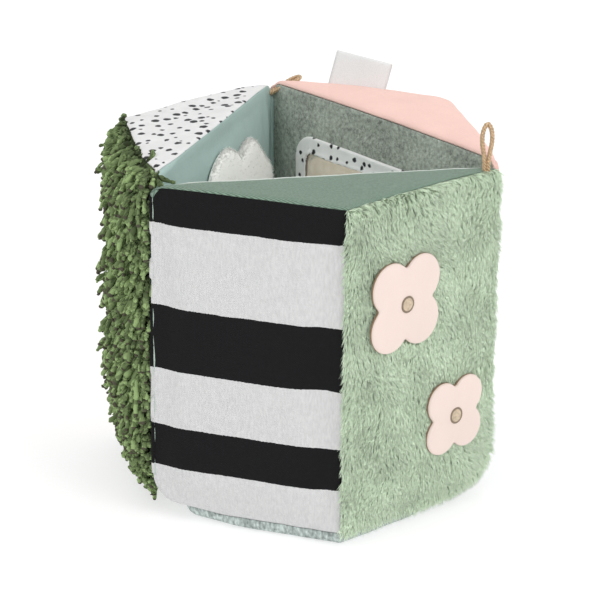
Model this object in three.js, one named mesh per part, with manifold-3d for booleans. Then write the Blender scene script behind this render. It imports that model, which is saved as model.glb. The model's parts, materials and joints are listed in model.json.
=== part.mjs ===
// A soft fold-out activity cube for a baby. Three stuffed triangular cushions, sewn edge to edge
// into a chain, close into a six-sided ring round a triangular well. Each cushion has two narrow
// outer faces and one wide inner face, and every face has its own fabric to feel or look at.
// Millimetres, +Z up. The origin is on the floor under the middle of the closed toy, and -Y is
// the front, where the front cushion's corner points.
import * as THREE from "three";
import { mergeVertices } from "three/addons/utils/BufferGeometryUtils.js";
import Module from "manifold-3d";

const wasm = await Module();
wasm.setup();

// ---- Driving dimensions ----
const ringSide = 110; // width of an outer face: the closed ring is a regular hexagon
const ringCentre = new THREE.Vector2(3.6, -4); // puts the origin under the middle of the outline
const bottomSeam = 6; // height of the lower seam: the base is rounded below it
const bottomInset = 4; // how far the base draws in below the lower seam
const topHeight = { front: 194, left: 197, rear: 197 }; // the front cushion is stuffed less
const cloth = 1.6; // thickness of a cover panel with its lining
const gap = 0.3; // clearance between touching pieces
const apexRadius = 8; // rounding of each cushion's wide corner
const tipRadius = 1.4; // rounding of each cushion's two thin corners
const smallestRadius = 0.3; // what is left of a corner's rounding inside the cover

// The two outer faces with a pile.
const furPile = 5;
const furTaper = 5;
const chenillePile = 7;
const chenilleTaper = 12;
const chenilleHingeMargin = 12; // plain strip beside the hinge, so that the cushions fold flat
const pileMargin = 5; // plain strip along the other edges

// Appliques: centre along the face from its first corner, centre height, width and height.
const largeFlower = { along: 37, up: 135, width: 49, height: 52 };
const smallFlower = { along: 75.5, up: 60, width: 41, height: 43 };
const flowerThickness = 3;
const flowerCentreRadius = 4.5;
const flowerCentreThickness = 1;
const cloudThickness = 6;
const cloudBase = 133; // height of the cloud's flat lower edge
const cloudPuffs = [
  { along: 90, up: 154, radius: 28 },
  { along: 129, up: 157, radius: 22 },
  { along: 152, up: 145, radius: 17 },
];

// The soft mirror on the rear cushion's inner face.
const mirrorFrame = { along: 98, up: 100, width: 142, height: 148, radius: 22 };
const mirrorBorder = 9;
const mirrorLap = 4; // how far the mirror sheet runs under its frame
const mirrorThickness = 0.8;
const frameThickness = 2;

// Hidden pieces.
const squeaker = { radius: 10, thickness: 9, along: 55, up: 60 };
const rattle = { radius: 9, length: 24, along: 55, up: 140 };
const crinkleFilm = { width: 120, height: 130, thickness: 0.5 };

// Trim.
const hingeSeamRadius = 1;
const hingeSeamMargin = 2;
const cordRadius = 1.4;
const loopRootInset = 9.5; // from the ring's corner to a loop's root
const standingLoop = { length: 28, halfWidth: 3.3, rootSpread: 1.6 };
const lyingLoop = { length: 15, halfWidth: 3.6, rootSpread: 1.6 };
const label = { width: 34, height: 22, along: 53, lean: 20, ply: 0.5, fold: 2.6 };

// ---- Outlines ----
// The ring's six corners, anticlockwise seen from above, from the front left one.
const ring = [];
for (let k = 0; k < 6; k += 1) {
  const angle = THREE.MathUtils.degToRad(210 + 60 * k);
  const corner = new THREE.Vector2(Math.cos(angle), Math.sin(angle));
  ring.push(corner.multiplyScalar(ringSide).add(ringCentre));
}

// Each cushion's corners: thin, wide, thin.
const cushionCorners = {
  front: [ring[0], ring[1], ring[2]],
  left: [ring[4], ring[5], ring[0]],
  rear: [ring[2], ring[3], ring[4]],
};
const cornerRadii = [tipRadius, apexRadius, tipRadius];
const arcSteps = [4, 8, 4];

const direction = (from, to) => to.clone().sub(from).normalize();
const outward = (along) => new THREE.Vector2(along.y, -along.x);

/** The arc that rounds corner i of a triangle whose sides have moved inwards by inset. */
function cornerArc(corners, i, inset) {
  const corner = corners[i];
  const arriving = direction(corners[(i + 2) % 3], corner);
  const leaving = direction(corner, corners[(i + 1) % 3]);
  const inwards = leaving.clone().sub(arriving).normalize();
  const halfAngle = Math.acos(-arriving.dot(leaving)) / 2;
  const radius = Math.max(cornerRadii[i] - inset, smallestRadius);
  const centre = inwards.multiplyScalar((radius + inset) / Math.sin(halfAngle)).add(corner);
  const start = outward(arriving).angle();
  return { centre, radius, start, sweep: Math.PI - 2 * halfAngle, steps: arcSteps[i] };
}

/** Points on an arc between two shares of its sweep. */
function arcPoints(arc, from, to, steps) {
  const points = [];
  for (let k = 0; k <= steps; k += 1) {
    const angle = arc.start + arc.sweep * (from + ((to - from) * k) / steps);
    const onArc = new THREE.Vector2(Math.cos(angle), Math.sin(angle));
    points.push(onArc.multiplyScalar(arc.radius).add(arc.centre));
  }
  return points;
}

/** A cushion's whole outline, inset from its outside. */
function outline(corners, inset) {
  return corners.flatMap((_, i) => {
    const arc = cornerArc(corners, i, inset);
    return arcPoints(arc, 0, 1, arc.steps);
  });
}

/** A strip of cover from the middle of corner i to the middle of the next corner. */
function panelOutline(corners, i) {
  const next = (i + 1) % 3;
  const line = (inset) => {
    const first = cornerArc(corners, i, inset);
    const last = cornerArc(corners, next, inset);
    const cut = (arc) => Math.min(gap / 2 / arc.radius / arc.sweep, 0.5);
    return [
      ...arcPoints(first, 0.5 + cut(first), 1, first.steps / 2),
      ...arcPoints(last, 0, 0.5 - cut(last), last.steps / 2),
    ];
  };
  return [...line(0), ...line(cloth).reverse()];
}

// ---- Solids ----
/** A straight extrusion of a plan outline between two heights. */
function prism(points, low, high) {
  const geometry = new THREE.ExtrudeGeometry(new THREE.Shape(points), {
    depth: high - low,
    bevelEnabled: false,
  });
  return geometry.translate(0, 0, low);
}

/** A closed solid through level outlines that all have the same number of points. */
function loft(levels) {
  const count = levels[0].points.length;
  const positions = levels.flatMap(({ points, z }) => points.flatMap((p) => [p.x, p.y, z]));
  const indices = [];
  for (let level = 0; level + 1 < levels.length; level += 1) {
    for (let k = 0; k < count; k += 1) {
      const a = level * count + k;
      const b = level * count + ((k + 1) % count);
      indices.push(a, b, b + count, a, b + count, a + count);
    }
  }
  const lastStart = (levels.length - 1) * count;
  for (const [a, b, c] of THREE.ShapeUtils.triangulateShape(levels[0].points, [])) {
    indices.push(c, b, a);
  }
  for (const [a, b, c] of THREE.ShapeUtils.triangulateShape(levels.at(-1).points, [])) {
    indices.push(lastStart + a, lastStart + b, lastStart + c);
  }
  const geometry = new THREE.BufferGeometry();
  geometry.setAttribute("position", new THREE.Float32BufferAttribute(positions, 3));
  geometry.setIndex(indices);
  return geometry;
}

function toManifold(geometry) {
  const bare = geometry.clone();
  bare.deleteAttribute("normal");
  bare.deleteAttribute("uv");
  const merged = mergeVertices(bare);
  return new wasm.Manifold(
    new wasm.Mesh({
      numProp: 3,
      vertProperties: new Float32Array(merged.attributes.position.array),
      triVerts: new Uint32Array(merged.index.array),
    }),
  );
}

function fromManifold(solid) {
  const mesh = solid.getMesh();
  const geometry = new THREE.BufferGeometry();
  geometry.setAttribute("position", new THREE.BufferAttribute(mesh.vertProperties, 3));
  geometry.setIndex(new THREE.BufferAttribute(mesh.triVerts, 1));
  return geometry;
}

/** Puts a shape drawn on a face (x along it, y up, z out of it) into its place on the toy. */
function onFace(geometry, corners, i, along, up, out) {
  const start = corners[i];
  const across = direction(start, corners[(i + 1) % 3]);
  const normal = outward(across);
  const origin = start.clone().addScaledVector(across, along).addScaledVector(normal, out);
  const matrix = new THREE.Matrix4().makeBasis(
    new THREE.Vector3(across.x, across.y, 0),
    new THREE.Vector3(0, 0, 1),
    new THREE.Vector3(normal.x, normal.y, 0),
  );
  matrix.setPosition(origin.x, origin.y, up);
  return geometry.applyMatrix4(matrix);
}

/** A flat piece of even thickness, lying on a face, from a shape drawn on that face. */
function applique(shape, thickness) {
  return new THREE.ExtrudeGeometry(shape, {
    depth: thickness,
    bevelEnabled: false,
    curveSegments: 6,
  });
}

// ---- Cushions ----
/** How far the rounded base draws in at a height, measured depth inside its surface. */
function baseInset(z, depth) {
  const slant = Math.hypot(bottomInset, bottomSeam) / bottomSeam;
  return bottomInset * (1 - z / bottomSeam) + depth * slant;
}

/** The base panel: a shallow dish with a flat underside that the toy stands on. */
function basePanel(corners) {
  return loft([
    { points: outline(corners, bottomInset), z: 0 },
    { points: outline(corners, 0), z: bottomSeam },
    { points: outline(corners, baseInset(bottomSeam, cloth)), z: bottomSeam },
    { points: outline(corners, baseInset(cloth, cloth)), z: cloth },
  ]);
}

/** The foam filling, inside the cover by depth on every side. */
function foamCore(corners, top, depth) {
  const slant = Math.hypot(bottomInset, bottomSeam) / bottomSeam;
  const wallStart = bottomSeam * (1 + (depth * (slant - 1)) / bottomInset);
  return loft([
    { points: outline(corners, baseInset(depth, depth)), z: depth },
    { points: outline(corners, depth), z: wallStart },
    { points: outline(corners, depth), z: top - depth },
  ]);
}

/** A side panel of the cover, from corner i to the next corner. */
function sidePanel(corners, i, top) {
  return prism(panelOutline(corners, i), bottomSeam + gap, top - cloth - gap);
}

function topPanel(corners, top) {
  return prism(outline(corners, 0), top - cloth, top);
}

/** A slab that stands for a pile, tapered at both ends of its face. */
function pileSlab(corners, i, margins, taper, thickness, top) {
  const [first, last] = margins;
  const shape = new THREE.Shape([
    new THREE.Vector2(first, 0),
    new THREE.Vector2(first + taper, -thickness),
    new THREE.Vector2(ringSide - last - taper, -thickness),
    new THREE.Vector2(ringSide - last, 0),
  ]);
  const height = top - bottomSeam - 2 * pileMargin;
  const slab = new THREE.ExtrudeGeometry(shape, { depth: height, bevelEnabled: false });
  return onFace(slab.rotateX(-Math.PI / 2), corners, i, 0, bottomSeam + pileMargin, gap);
}

/** A foam core with a round pocket sunk into face i, which the cover panel closes. */
function pocketedCore(core, corners, i, piece, depth) {
  const cutter = new THREE.CylinderGeometry(piece.radius + gap, piece.radius + gap, depth, 24);
  cutter.rotateX(Math.PI / 2);
  onFace(cutter, corners, i, piece.along, piece.up, -depth / 2);
  return fromManifold(toManifold(core).subtract(toManifold(cutter)));
}

// ---- Appliques ----
/** A flower with four round petals set on its diagonals. */
function flowerShape({ width, height }) {
  const points = [];
  const petalRadius = 0.27;
  const petalReach = (0.5 - petalRadius) * Math.SQRT2;
  const stepsPerPetal = 14;
  for (let petal = 0; petal < 4; petal += 1) {
    const heading = Math.PI / 4 + (petal * Math.PI) / 2;
    const meeting = Math.acos(-petalReach / Math.SQRT2 / petalRadius) - Math.PI / 4;
    for (let k = 0; k < stepsPerPetal; k += 1) {
      const angle = heading + meeting * ((2 * k) / stepsPerPetal - 1);
      const x = petalReach * Math.cos(heading) + petalRadius * Math.cos(angle);
      const y = petalReach * Math.sin(heading) + petalRadius * Math.sin(angle);
      points.push(new THREE.Vector2(width * x, height * y));
    }
  }
  return new THREE.Shape(points);
}

/** The cloud: overlapping round puffs, cut straight along the bottom. */
function cloudSolid(corners, i) {
  const place = (geometry, along, up) =>
    toManifold(onFace(geometry, corners, i, along, up, gap + cloudThickness / 2));
  const puffs = cloudPuffs.map(({ along, up, radius }) => {
    const puff = new THREE.CylinderGeometry(radius, radius, cloudThickness, 32);
    return place(puff.rotateX(Math.PI / 2), along, up);
  });
  const joined = puffs.reduce((whole, puff) => whole.add(puff));
  const first = cloudPuffs[0].along;
  const last = cloudPuffs.at(-1).along;
  const filling = new THREE.BoxGeometry(last - first, 20, cloudThickness);
  const below = new THREE.BoxGeometry(2 * ringSide, 40, 2 * cloudThickness);
  return fromManifold(
    joined
      .add(place(filling, (first + last) / 2, cloudBase + 10))
      .subtract(place(below, (first + last) / 2, cloudBase - 20)),
  );
}

/** A rectangle with round corners about its own middle. */
function roundedRectangle(width, height, radius) {
  const shape = new THREE.Shape();
  const x = width / 2 - radius;
  const y = height / 2 - radius;
  shape.absarc(x, -y, radius, -Math.PI / 2, 0);
  shape.absarc(x, y, radius, 0, Math.PI / 2);
  shape.absarc(-x, y, radius, Math.PI / 2, Math.PI);
  shape.absarc(-x, -y, radius, Math.PI, 1.5 * Math.PI);
  return shape;
}

// ---- Trim ----
/** A cord bent into a loop in the XZ plane, both ends at the origin, reaching up +Z. */
function loopGeometry({ length, halfWidth, rootSpread }) {
  const curve = new THREE.CatmullRomCurve3([
    new THREE.Vector3(-rootSpread, 0, 0),
    new THREE.Vector3(-rootSpread - 0.3, 0, length * 0.25),
    new THREE.Vector3(-halfWidth, 0, length * 0.62),
    new THREE.Vector3(-halfWidth * 0.8, 0, length * 0.86),
    new THREE.Vector3(0, 0, length),
    new THREE.Vector3(halfWidth * 0.8, 0, length * 0.86),
    new THREE.Vector3(halfWidth, 0, length * 0.62),
    new THREE.Vector3(rootSpread + 0.3, 0, length * 0.25),
    new THREE.Vector3(rootSpread, 0, 0),
  ]);
  const section = new THREE.Shape();
  section.absarc(0, 0, cordRadius, 0, 2 * Math.PI);
  return new THREE.ExtrudeGeometry(section, {
    steps: 32,
    curveSegments: 4,
    bevelEnabled: false,
    extrudePath: curve,
  });
}

/** The folded label: a strip of woven tape doubled over, with both ends in the seam. */
function labelGeometry({ width, height, ply, fold }) {
  const outer = fold / 2;
  const inner = outer - ply;
  const section = new THREE.Shape();
  section.moveTo(outer, 0);
  section.absarc(0, height - outer, outer, 0, Math.PI);
  section.lineTo(-outer, 0);
  section.lineTo(-inner, 0);
  section.absarc(0, height - outer, inner, Math.PI, 0, true);
  section.lineTo(inner, 0);
  const geometry = new THREE.ExtrudeGeometry(section, {
    depth: width,
    bevelEnabled: false,
    curveSegments: 6,
  });
  return geometry.translate(0, 0, -width / 2).rotateY(Math.PI / 2).rotateX(Math.PI / 2);
}

// ---- Assembly ----
const cube = new THREE.Group();

/** Adds one named piece with its own colour and finish. */
function add(name, geometry, colour, roughness, metalness = 0) {
  const material = new THREE.MeshStandardMaterial({ color: colour, roughness, metalness });
  const mesh = new THREE.Mesh(geometry, material);
  mesh.name = name;
  cube.add(mesh);
  return mesh;
}

const coreDepth = cloth + gap;
const { front, left, rear } = cushionCorners;

// Front cushion: striped and furry outside, plain towards the well.
const frontCore = foamCore(front, topHeight.front, coreDepth);
const squeakerPocket = coreDepth + squeaker.thickness + gap;
add("front_foam_core", pocketedCore(frontCore, front, 0, squeaker, squeakerPocket), 0xf2f0e8, 0.95);
add("front_top_panel", topPanel(front, topHeight.front), 0x7f9484, 0.9);
add("front_base_panel", basePanel(front), 0xa6b2ad, 0.9);
add("front_striped_panel", sidePanel(front, 0, topHeight.front), 0xd4d4d4, 0.9);
add("front_fur_backing", sidePanel(front, 1, topHeight.front), 0x8fa588, 0.95);
add("front_well_panel", sidePanel(front, 2, topHeight.front), 0xb9cfc0, 0.9);
add(
  "front_fur_pile",
  pileSlab(front, 1, [pileMargin, pileMargin + 6], furTaper, furPile, topHeight.front),
  0xaabda1,
  0.95,
);
const squeakerSolid = new THREE.CylinderGeometry(squeaker.radius, squeaker.radius, squeaker.thickness, 24);
add(
  "squeaker",
  onFace(
    squeakerSolid.rotateX(Math.PI / 2),
    front,
    0,
    squeaker.along,
    squeaker.up,
    -coreDepth - squeaker.thickness / 2,
  ),
  0xe8e4d8,
  0.6,
);

const onFur = 2 * gap + furPile;
for (const [name, flower] of [
  ["flower_large", largeFlower],
  ["flower_small", smallFlower],
]) {
  const petals = applique(flowerShape(flower), flowerThickness);
  add(name, onFace(petals, front, 1, flower.along, flower.up, onFur), 0xf6e3dc, 0.9);
  const disc = new THREE.CylinderGeometry(
    flowerCentreRadius,
    flowerCentreRadius,
    flowerCentreThickness,
    24,
  );
  const discOut = onFur + flowerThickness + gap + flowerCentreThickness / 2;
  add(
    `${name}_centre`,
    onFace(disc.rotateX(Math.PI / 2), front, 1, flower.along, flower.up, discOut),
    0xcebca5,
    0.85,
  );
}

// Left cushion: shaggy chenille outside, a cloud towards the well.
const leftCore = foamCore(left, topHeight.left, coreDepth);
const rattlePocket = coreDepth + rattle.length + gap;
add("left_foam_core", pocketedCore(leftCore, left, 1, rattle, rattlePocket), 0xf2f0e8, 0.95);
add("left_top_panel", topPanel(left, topHeight.left), 0xf0f0f0, 0.9);
add("left_base_panel", basePanel(left), 0xa6b2ad, 0.9);
add("left_outer_panel", sidePanel(left, 0, topHeight.left), 0xf3cfc0, 0.9);
add("left_chenille_backing", sidePanel(left, 1, topHeight.left), 0x5d6d4a, 0.95);
add("left_well_panel", sidePanel(left, 2, topHeight.left), 0xa4b6af, 0.9);
add(
  "left_chenille_pile",
  pileSlab(left, 1, [pileMargin, chenilleHingeMargin], chenilleTaper, chenillePile, topHeight.left),
  0x6f8258,
  0.95,
);
const rattleSolid = new THREE.CapsuleGeometry(rattle.radius, rattle.length - 2 * rattle.radius, 5, 20);
add(
  "rattle",
  onFace(
    rattleSolid.rotateX(Math.PI / 2),
    left,
    1,
    rattle.along,
    rattle.up,
    -coreDepth - rattle.length / 2,
  ),
  0xe8e4d8,
  0.5,
);
add("cloud", cloudSolid(left, 2), 0xe6e4dc, 0.95);

// Rear cushion: plain outside, a framed soft mirror towards the well.
const filmDepth = cloth + gap + crinkleFilm.thickness;
add("rear_foam_core", foamCore(rear, topHeight.rear, filmDepth + gap), 0xf2f0e8, 0.95);
add("rear_top_panel", topPanel(rear, topHeight.rear), 0xf8d9d0, 0.85);
add("rear_base_panel", basePanel(rear), 0xa6b2ad, 0.9);
add("rear_right_panel", sidePanel(rear, 0, topHeight.rear), 0x8ea79c, 0.9);
add("rear_left_panel", sidePanel(rear, 1, topHeight.rear), 0xe9e4da, 0.9);
add("rear_well_panel", sidePanel(rear, 2, topHeight.rear), 0x838981, 0.9);
const innerWidth = rear[2].distanceTo(rear[0]);
const film = new THREE.BoxGeometry(crinkleFilm.width, crinkleFilm.height, crinkleFilm.thickness);
add(
  "crinkle_film",
  onFace(film, rear, 2, innerWidth / 2, mirrorFrame.up, -filmDepth + crinkleFilm.thickness / 2),
  0xd8dcdc,
  0.3,
);

const windowWidth = mirrorFrame.width - 2 * mirrorBorder;
const windowHeight = mirrorFrame.height - 2 * mirrorBorder;
const windowRadius = mirrorFrame.radius - mirrorBorder;
const mirrorShape = roundedRectangle(
  windowWidth + 2 * mirrorLap,
  windowHeight + 2 * mirrorLap,
  windowRadius + mirrorLap,
);
add(
  "mirror_sheet",
  onFace(applique(mirrorShape, mirrorThickness), rear, 2, mirrorFrame.along, mirrorFrame.up, gap),
  0xc8c6bc,
  0.15,
  0.8,
);
const frameShape = roundedRectangle(mirrorFrame.width, mirrorFrame.height, mirrorFrame.radius);
frameShape.holes.push(roundedRectangle(windowWidth, windowHeight, windowRadius));
const frameOut = 2 * gap + mirrorThickness;
add(
  "mirror_frame",
  onFace(applique(frameShape, frameThickness), rear, 2, mirrorFrame.along, mirrorFrame.up, frameOut),
  0xf0f0ee,
  0.9,
);

// The two sewn hinges of the chain.
for (const [name, corner] of [
  ["hinge_seam_front", ring[0]],
  ["hinge_seam_rear", ring[4]],
]) {
  const low = bottomSeam + hingeSeamMargin;
  const height = topHeight.left - hingeSeamMargin - low;
  const seam = new THREE.CylinderGeometry(hingeSeamRadius, hingeSeamRadius, height, 10);
  seam.rotateX(Math.PI / 2);
  add(name, seam.translate(corner.x, corner.y, low + height / 2), 0x6f7f78, 0.9);
}

/** The point near a cushion's tip where a loop is sewn in, towards another point. */
function loopRoot(tip, towards) {
  return tip.clone().addScaledVector(direction(tip, towards), loopRootInset);
}

// The gold loop that stands up at the open corner, and the one that lies back over the hinge.
const standingRoot = loopRoot(front[2], front[1]);
const standing = add("hanging_loop_front", loopGeometry(standingLoop), 0xc6ae8f, 0.45, 0.3);
standing.position.set(standingRoot.x, standingRoot.y, topHeight.front + gap + cordRadius);

const rearMiddle = rear[0].clone().add(rear[1]).multiplyScalar(0.5);
const lyingRoot = loopRoot(rear[2], rearMiddle);
const lying = add("hanging_loop_rear", loopGeometry(lyingLoop), 0xc6ae8f, 0.45, 0.3);
lying.position.set(lyingRoot.x, lyingRoot.y, topHeight.rear + gap + cordRadius);
lying.rotation.x = THREE.MathUtils.degToRad(-82);

// The blank folded label in the rear cushion's top seam.
const labelAlong = direction(rear[1], rear[2]);
const labelNormal = outward(labelAlong);
const labelRoot = rear[2].clone().addScaledVector(labelAlong, -label.along);
labelRoot.addScaledVector(labelNormal, -label.fold);
const labelMesh = add("seam_label", labelGeometry(label), 0xececea, 0.85);
labelMesh.position.set(labelRoot.x, labelRoot.y, topHeight.rear + gap + label.fold / 2);
labelMesh.rotation.order = "ZXY";
labelMesh.rotation.z = Math.atan2(labelAlong.y, labelAlong.x);
labelMesh.rotation.x = THREE.MathUtils.degToRad(label.lean);

export default cube;
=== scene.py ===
import json
import math

import bpy
import numpy as np
from mathutils import Matrix, Vector
from mathutils.noise import noise


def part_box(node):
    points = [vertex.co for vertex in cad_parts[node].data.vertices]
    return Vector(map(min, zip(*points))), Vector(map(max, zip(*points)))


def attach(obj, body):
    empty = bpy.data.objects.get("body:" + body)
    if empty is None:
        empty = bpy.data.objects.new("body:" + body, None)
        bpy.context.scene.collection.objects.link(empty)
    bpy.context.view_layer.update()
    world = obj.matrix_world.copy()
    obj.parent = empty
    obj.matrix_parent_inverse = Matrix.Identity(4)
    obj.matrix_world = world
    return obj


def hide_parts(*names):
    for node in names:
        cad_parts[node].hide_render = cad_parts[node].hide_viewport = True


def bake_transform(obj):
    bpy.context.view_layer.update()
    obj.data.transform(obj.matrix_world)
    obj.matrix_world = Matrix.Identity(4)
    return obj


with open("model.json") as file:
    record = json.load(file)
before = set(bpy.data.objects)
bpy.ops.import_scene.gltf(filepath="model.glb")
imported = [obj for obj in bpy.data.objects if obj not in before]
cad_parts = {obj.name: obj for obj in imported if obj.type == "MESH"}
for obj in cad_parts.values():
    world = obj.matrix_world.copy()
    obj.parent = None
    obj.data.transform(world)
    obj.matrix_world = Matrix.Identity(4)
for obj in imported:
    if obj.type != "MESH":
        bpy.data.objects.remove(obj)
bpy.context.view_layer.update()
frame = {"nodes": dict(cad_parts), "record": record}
MM = 0.001

# ---- Where things are, from the frame ----
JOINTS = {joint["name"]: joint for joint in frame["record"]["behaviour"]["joints"]}


def plan(point):
    """A point seen from above."""
    return np.array([point[0], point[1]], float)


def turned(vector, degrees):
    """A plan vector turned anticlockwise."""
    c, s = math.cos(math.radians(degrees)), math.sin(math.radians(degrees))
    return np.array([c * vector[0] - s * vector[1], s * vector[0] + c * vector[1]])


# The ring's six corners, anticlockwise from the front left one. The hinges stand on two of them.
front_left = plan(JOINTS["front_hinge"]["pos_m"])
rear_corner = plan(JOINTS["rear_hinge"]["pos_m"])
front_right = front_left + turned(rear_corner - front_left, -60)
ring_centre = (front_left + rear_corner + front_right) / 3
RING = [ring_centre + turned(front_left - ring_centre, 60 * k) for k in range(6)]
RING_SIDE = float(np.linalg.norm(RING[1] - RING[0]))
LOWER_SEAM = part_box("front_base_panel")[1].z

# Each cushion's corners (thin, wide, thin) and the height of its upper seam.
CUSHIONS = {
    "front": ((RING[0], RING[1], RING[2]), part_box("front_top_panel")[1].z),
    "left": ((RING[4], RING[5], RING[0]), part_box("left_top_panel")[1].z),
    "rear": ((RING[2], RING[3], RING[4]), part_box("rear_top_panel")[1].z),
}


class Face:
    """A side of a cushion: x runs along it, y is height above the floor, z is out of it."""

    def __init__(self, cushion, side):
        corners = CUSHIONS[cushion][0]
        self.start = corners[side]
        span = corners[(side + 1) % 3] - self.start
        self.width = float(np.linalg.norm(span))
        self.along = span / self.width
        self.out = np.array([self.along[1], -self.along[0]])
        self.heading = math.degrees(math.atan2(self.along[1], self.along[0]))

    def place(self, x, y, z):
        """Arrays of face coordinates as an array of points in the frame."""
        x, y, z = np.broadcast_arrays(*(np.asarray(v, float) for v in (x, y, z)))
        xy = self.start + x[..., None] * self.along + z[..., None] * self.out
        return np.concatenate([xy, y[..., None]], axis=-1)

    def read(self, points):
        """Points in the frame as arrays of face coordinates."""
        flat = points[..., :2] - self.start
        return flat @ self.along, points[..., 2], flat @ self.out


FUR_FACE = Face("front", 1)
CHENILLE_FACE = Face("left", 1)
CLOUD_FACE = Face("left", 2)
MIRROR_FACE = Face("rear", 2)

# ---- Camera, floor and light ----
CAMERA_AZIMUTH = -11.07
CAMERA_HEIGHT_ANGLE = 21.4
CAMERA_ROLL = 0.66
CAMERA_DISTANCE = 14.78 * RING_SIDE
CAMERA_LENS = 172.6
SENSOR = 36
LOOK_AT = (ring_centre[0] - 0.0265 * RING_SIDE, ring_centre[1], LOWER_SEAM + 0.871 * RING_SIDE)


def add_camera():
    azimuth, rise, roll = (math.radians(v) for v in (CAMERA_AZIMUTH, CAMERA_HEIGHT_ANGLE, CAMERA_ROLL))
    back = Vector((math.sin(azimuth) * math.cos(rise), -math.cos(azimuth) * math.cos(rise), math.sin(rise)))
    right = Vector((math.cos(azimuth), math.sin(azimuth), 0))
    up = back.cross(right)
    right, up = (
        right * math.cos(roll) + up * math.sin(roll),
        up * math.cos(roll) - right * math.sin(roll),
    )
    data = bpy.data.cameras.new("camera")
    data.lens = CAMERA_LENS
    data.sensor_width = SENSOR
    data.clip_end = 20
    camera = bpy.data.objects.new("camera", data)
    place = Matrix((right, up, back)).transposed().to_4x4()
    place.translation = Vector(LOOK_AT) + back * CAMERA_DISTANCE
    camera.matrix_world = place
    bpy.context.scene.collection.objects.link(camera)
    bpy.context.scene.camera = camera


def area_light(name, place, size, power):
    data = bpy.data.lights.new(name, "AREA")
    data.shape = "DISK"
    data.size = size
    data.energy = power
    light = bpy.data.objects.new(name, data)
    light.location = place
    light.rotation_euler = (Vector((0, 0, 0.1)) - Vector(place)).to_track_quat("-Z", "Y").to_euler()
    bpy.context.scene.collection.objects.link(light)


def add_studio():
    bpy.context.scene.view_settings.view_transform = "Standard"
    world = bpy.data.worlds.new("studio")
    world.use_nodes = True
    background = world.node_tree.nodes["Background"]
    background.inputs["Color"].default_value = (1, 1, 1, 1)
    background.inputs["Strength"].default_value = 0.9
    bpy.context.scene.world = world
    area_light("key", (0.9, -1.2, 1.2), 1.0, 8)
    area_light("fill", (-1.3, -0.9, 0.9), 1.2, 2)
    area_light("top", (0.0, 0.4, 1.8), 1.4, 1)
    bpy.ops.mesh.primitive_plane_add(size=12)
    floor = bpy.context.object
    floor.name = "floor"
    paint = bpy.data.materials.new("floor")
    paint.use_nodes = True
    shader = paint.node_tree.nodes["Principled BSDF"]
    shader.inputs["Base Color"].default_value = (0.5, 0.5, 0.5, 1)
    shader.inputs["Emission Color"].default_value = (1, 1, 1, 1)
    shader.inputs["Emission Strength"].default_value = 0.58
    shader.inputs["Roughness"].default_value = 0.9
    floor.data.materials.append(paint)


add_camera()
add_studio()

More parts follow.
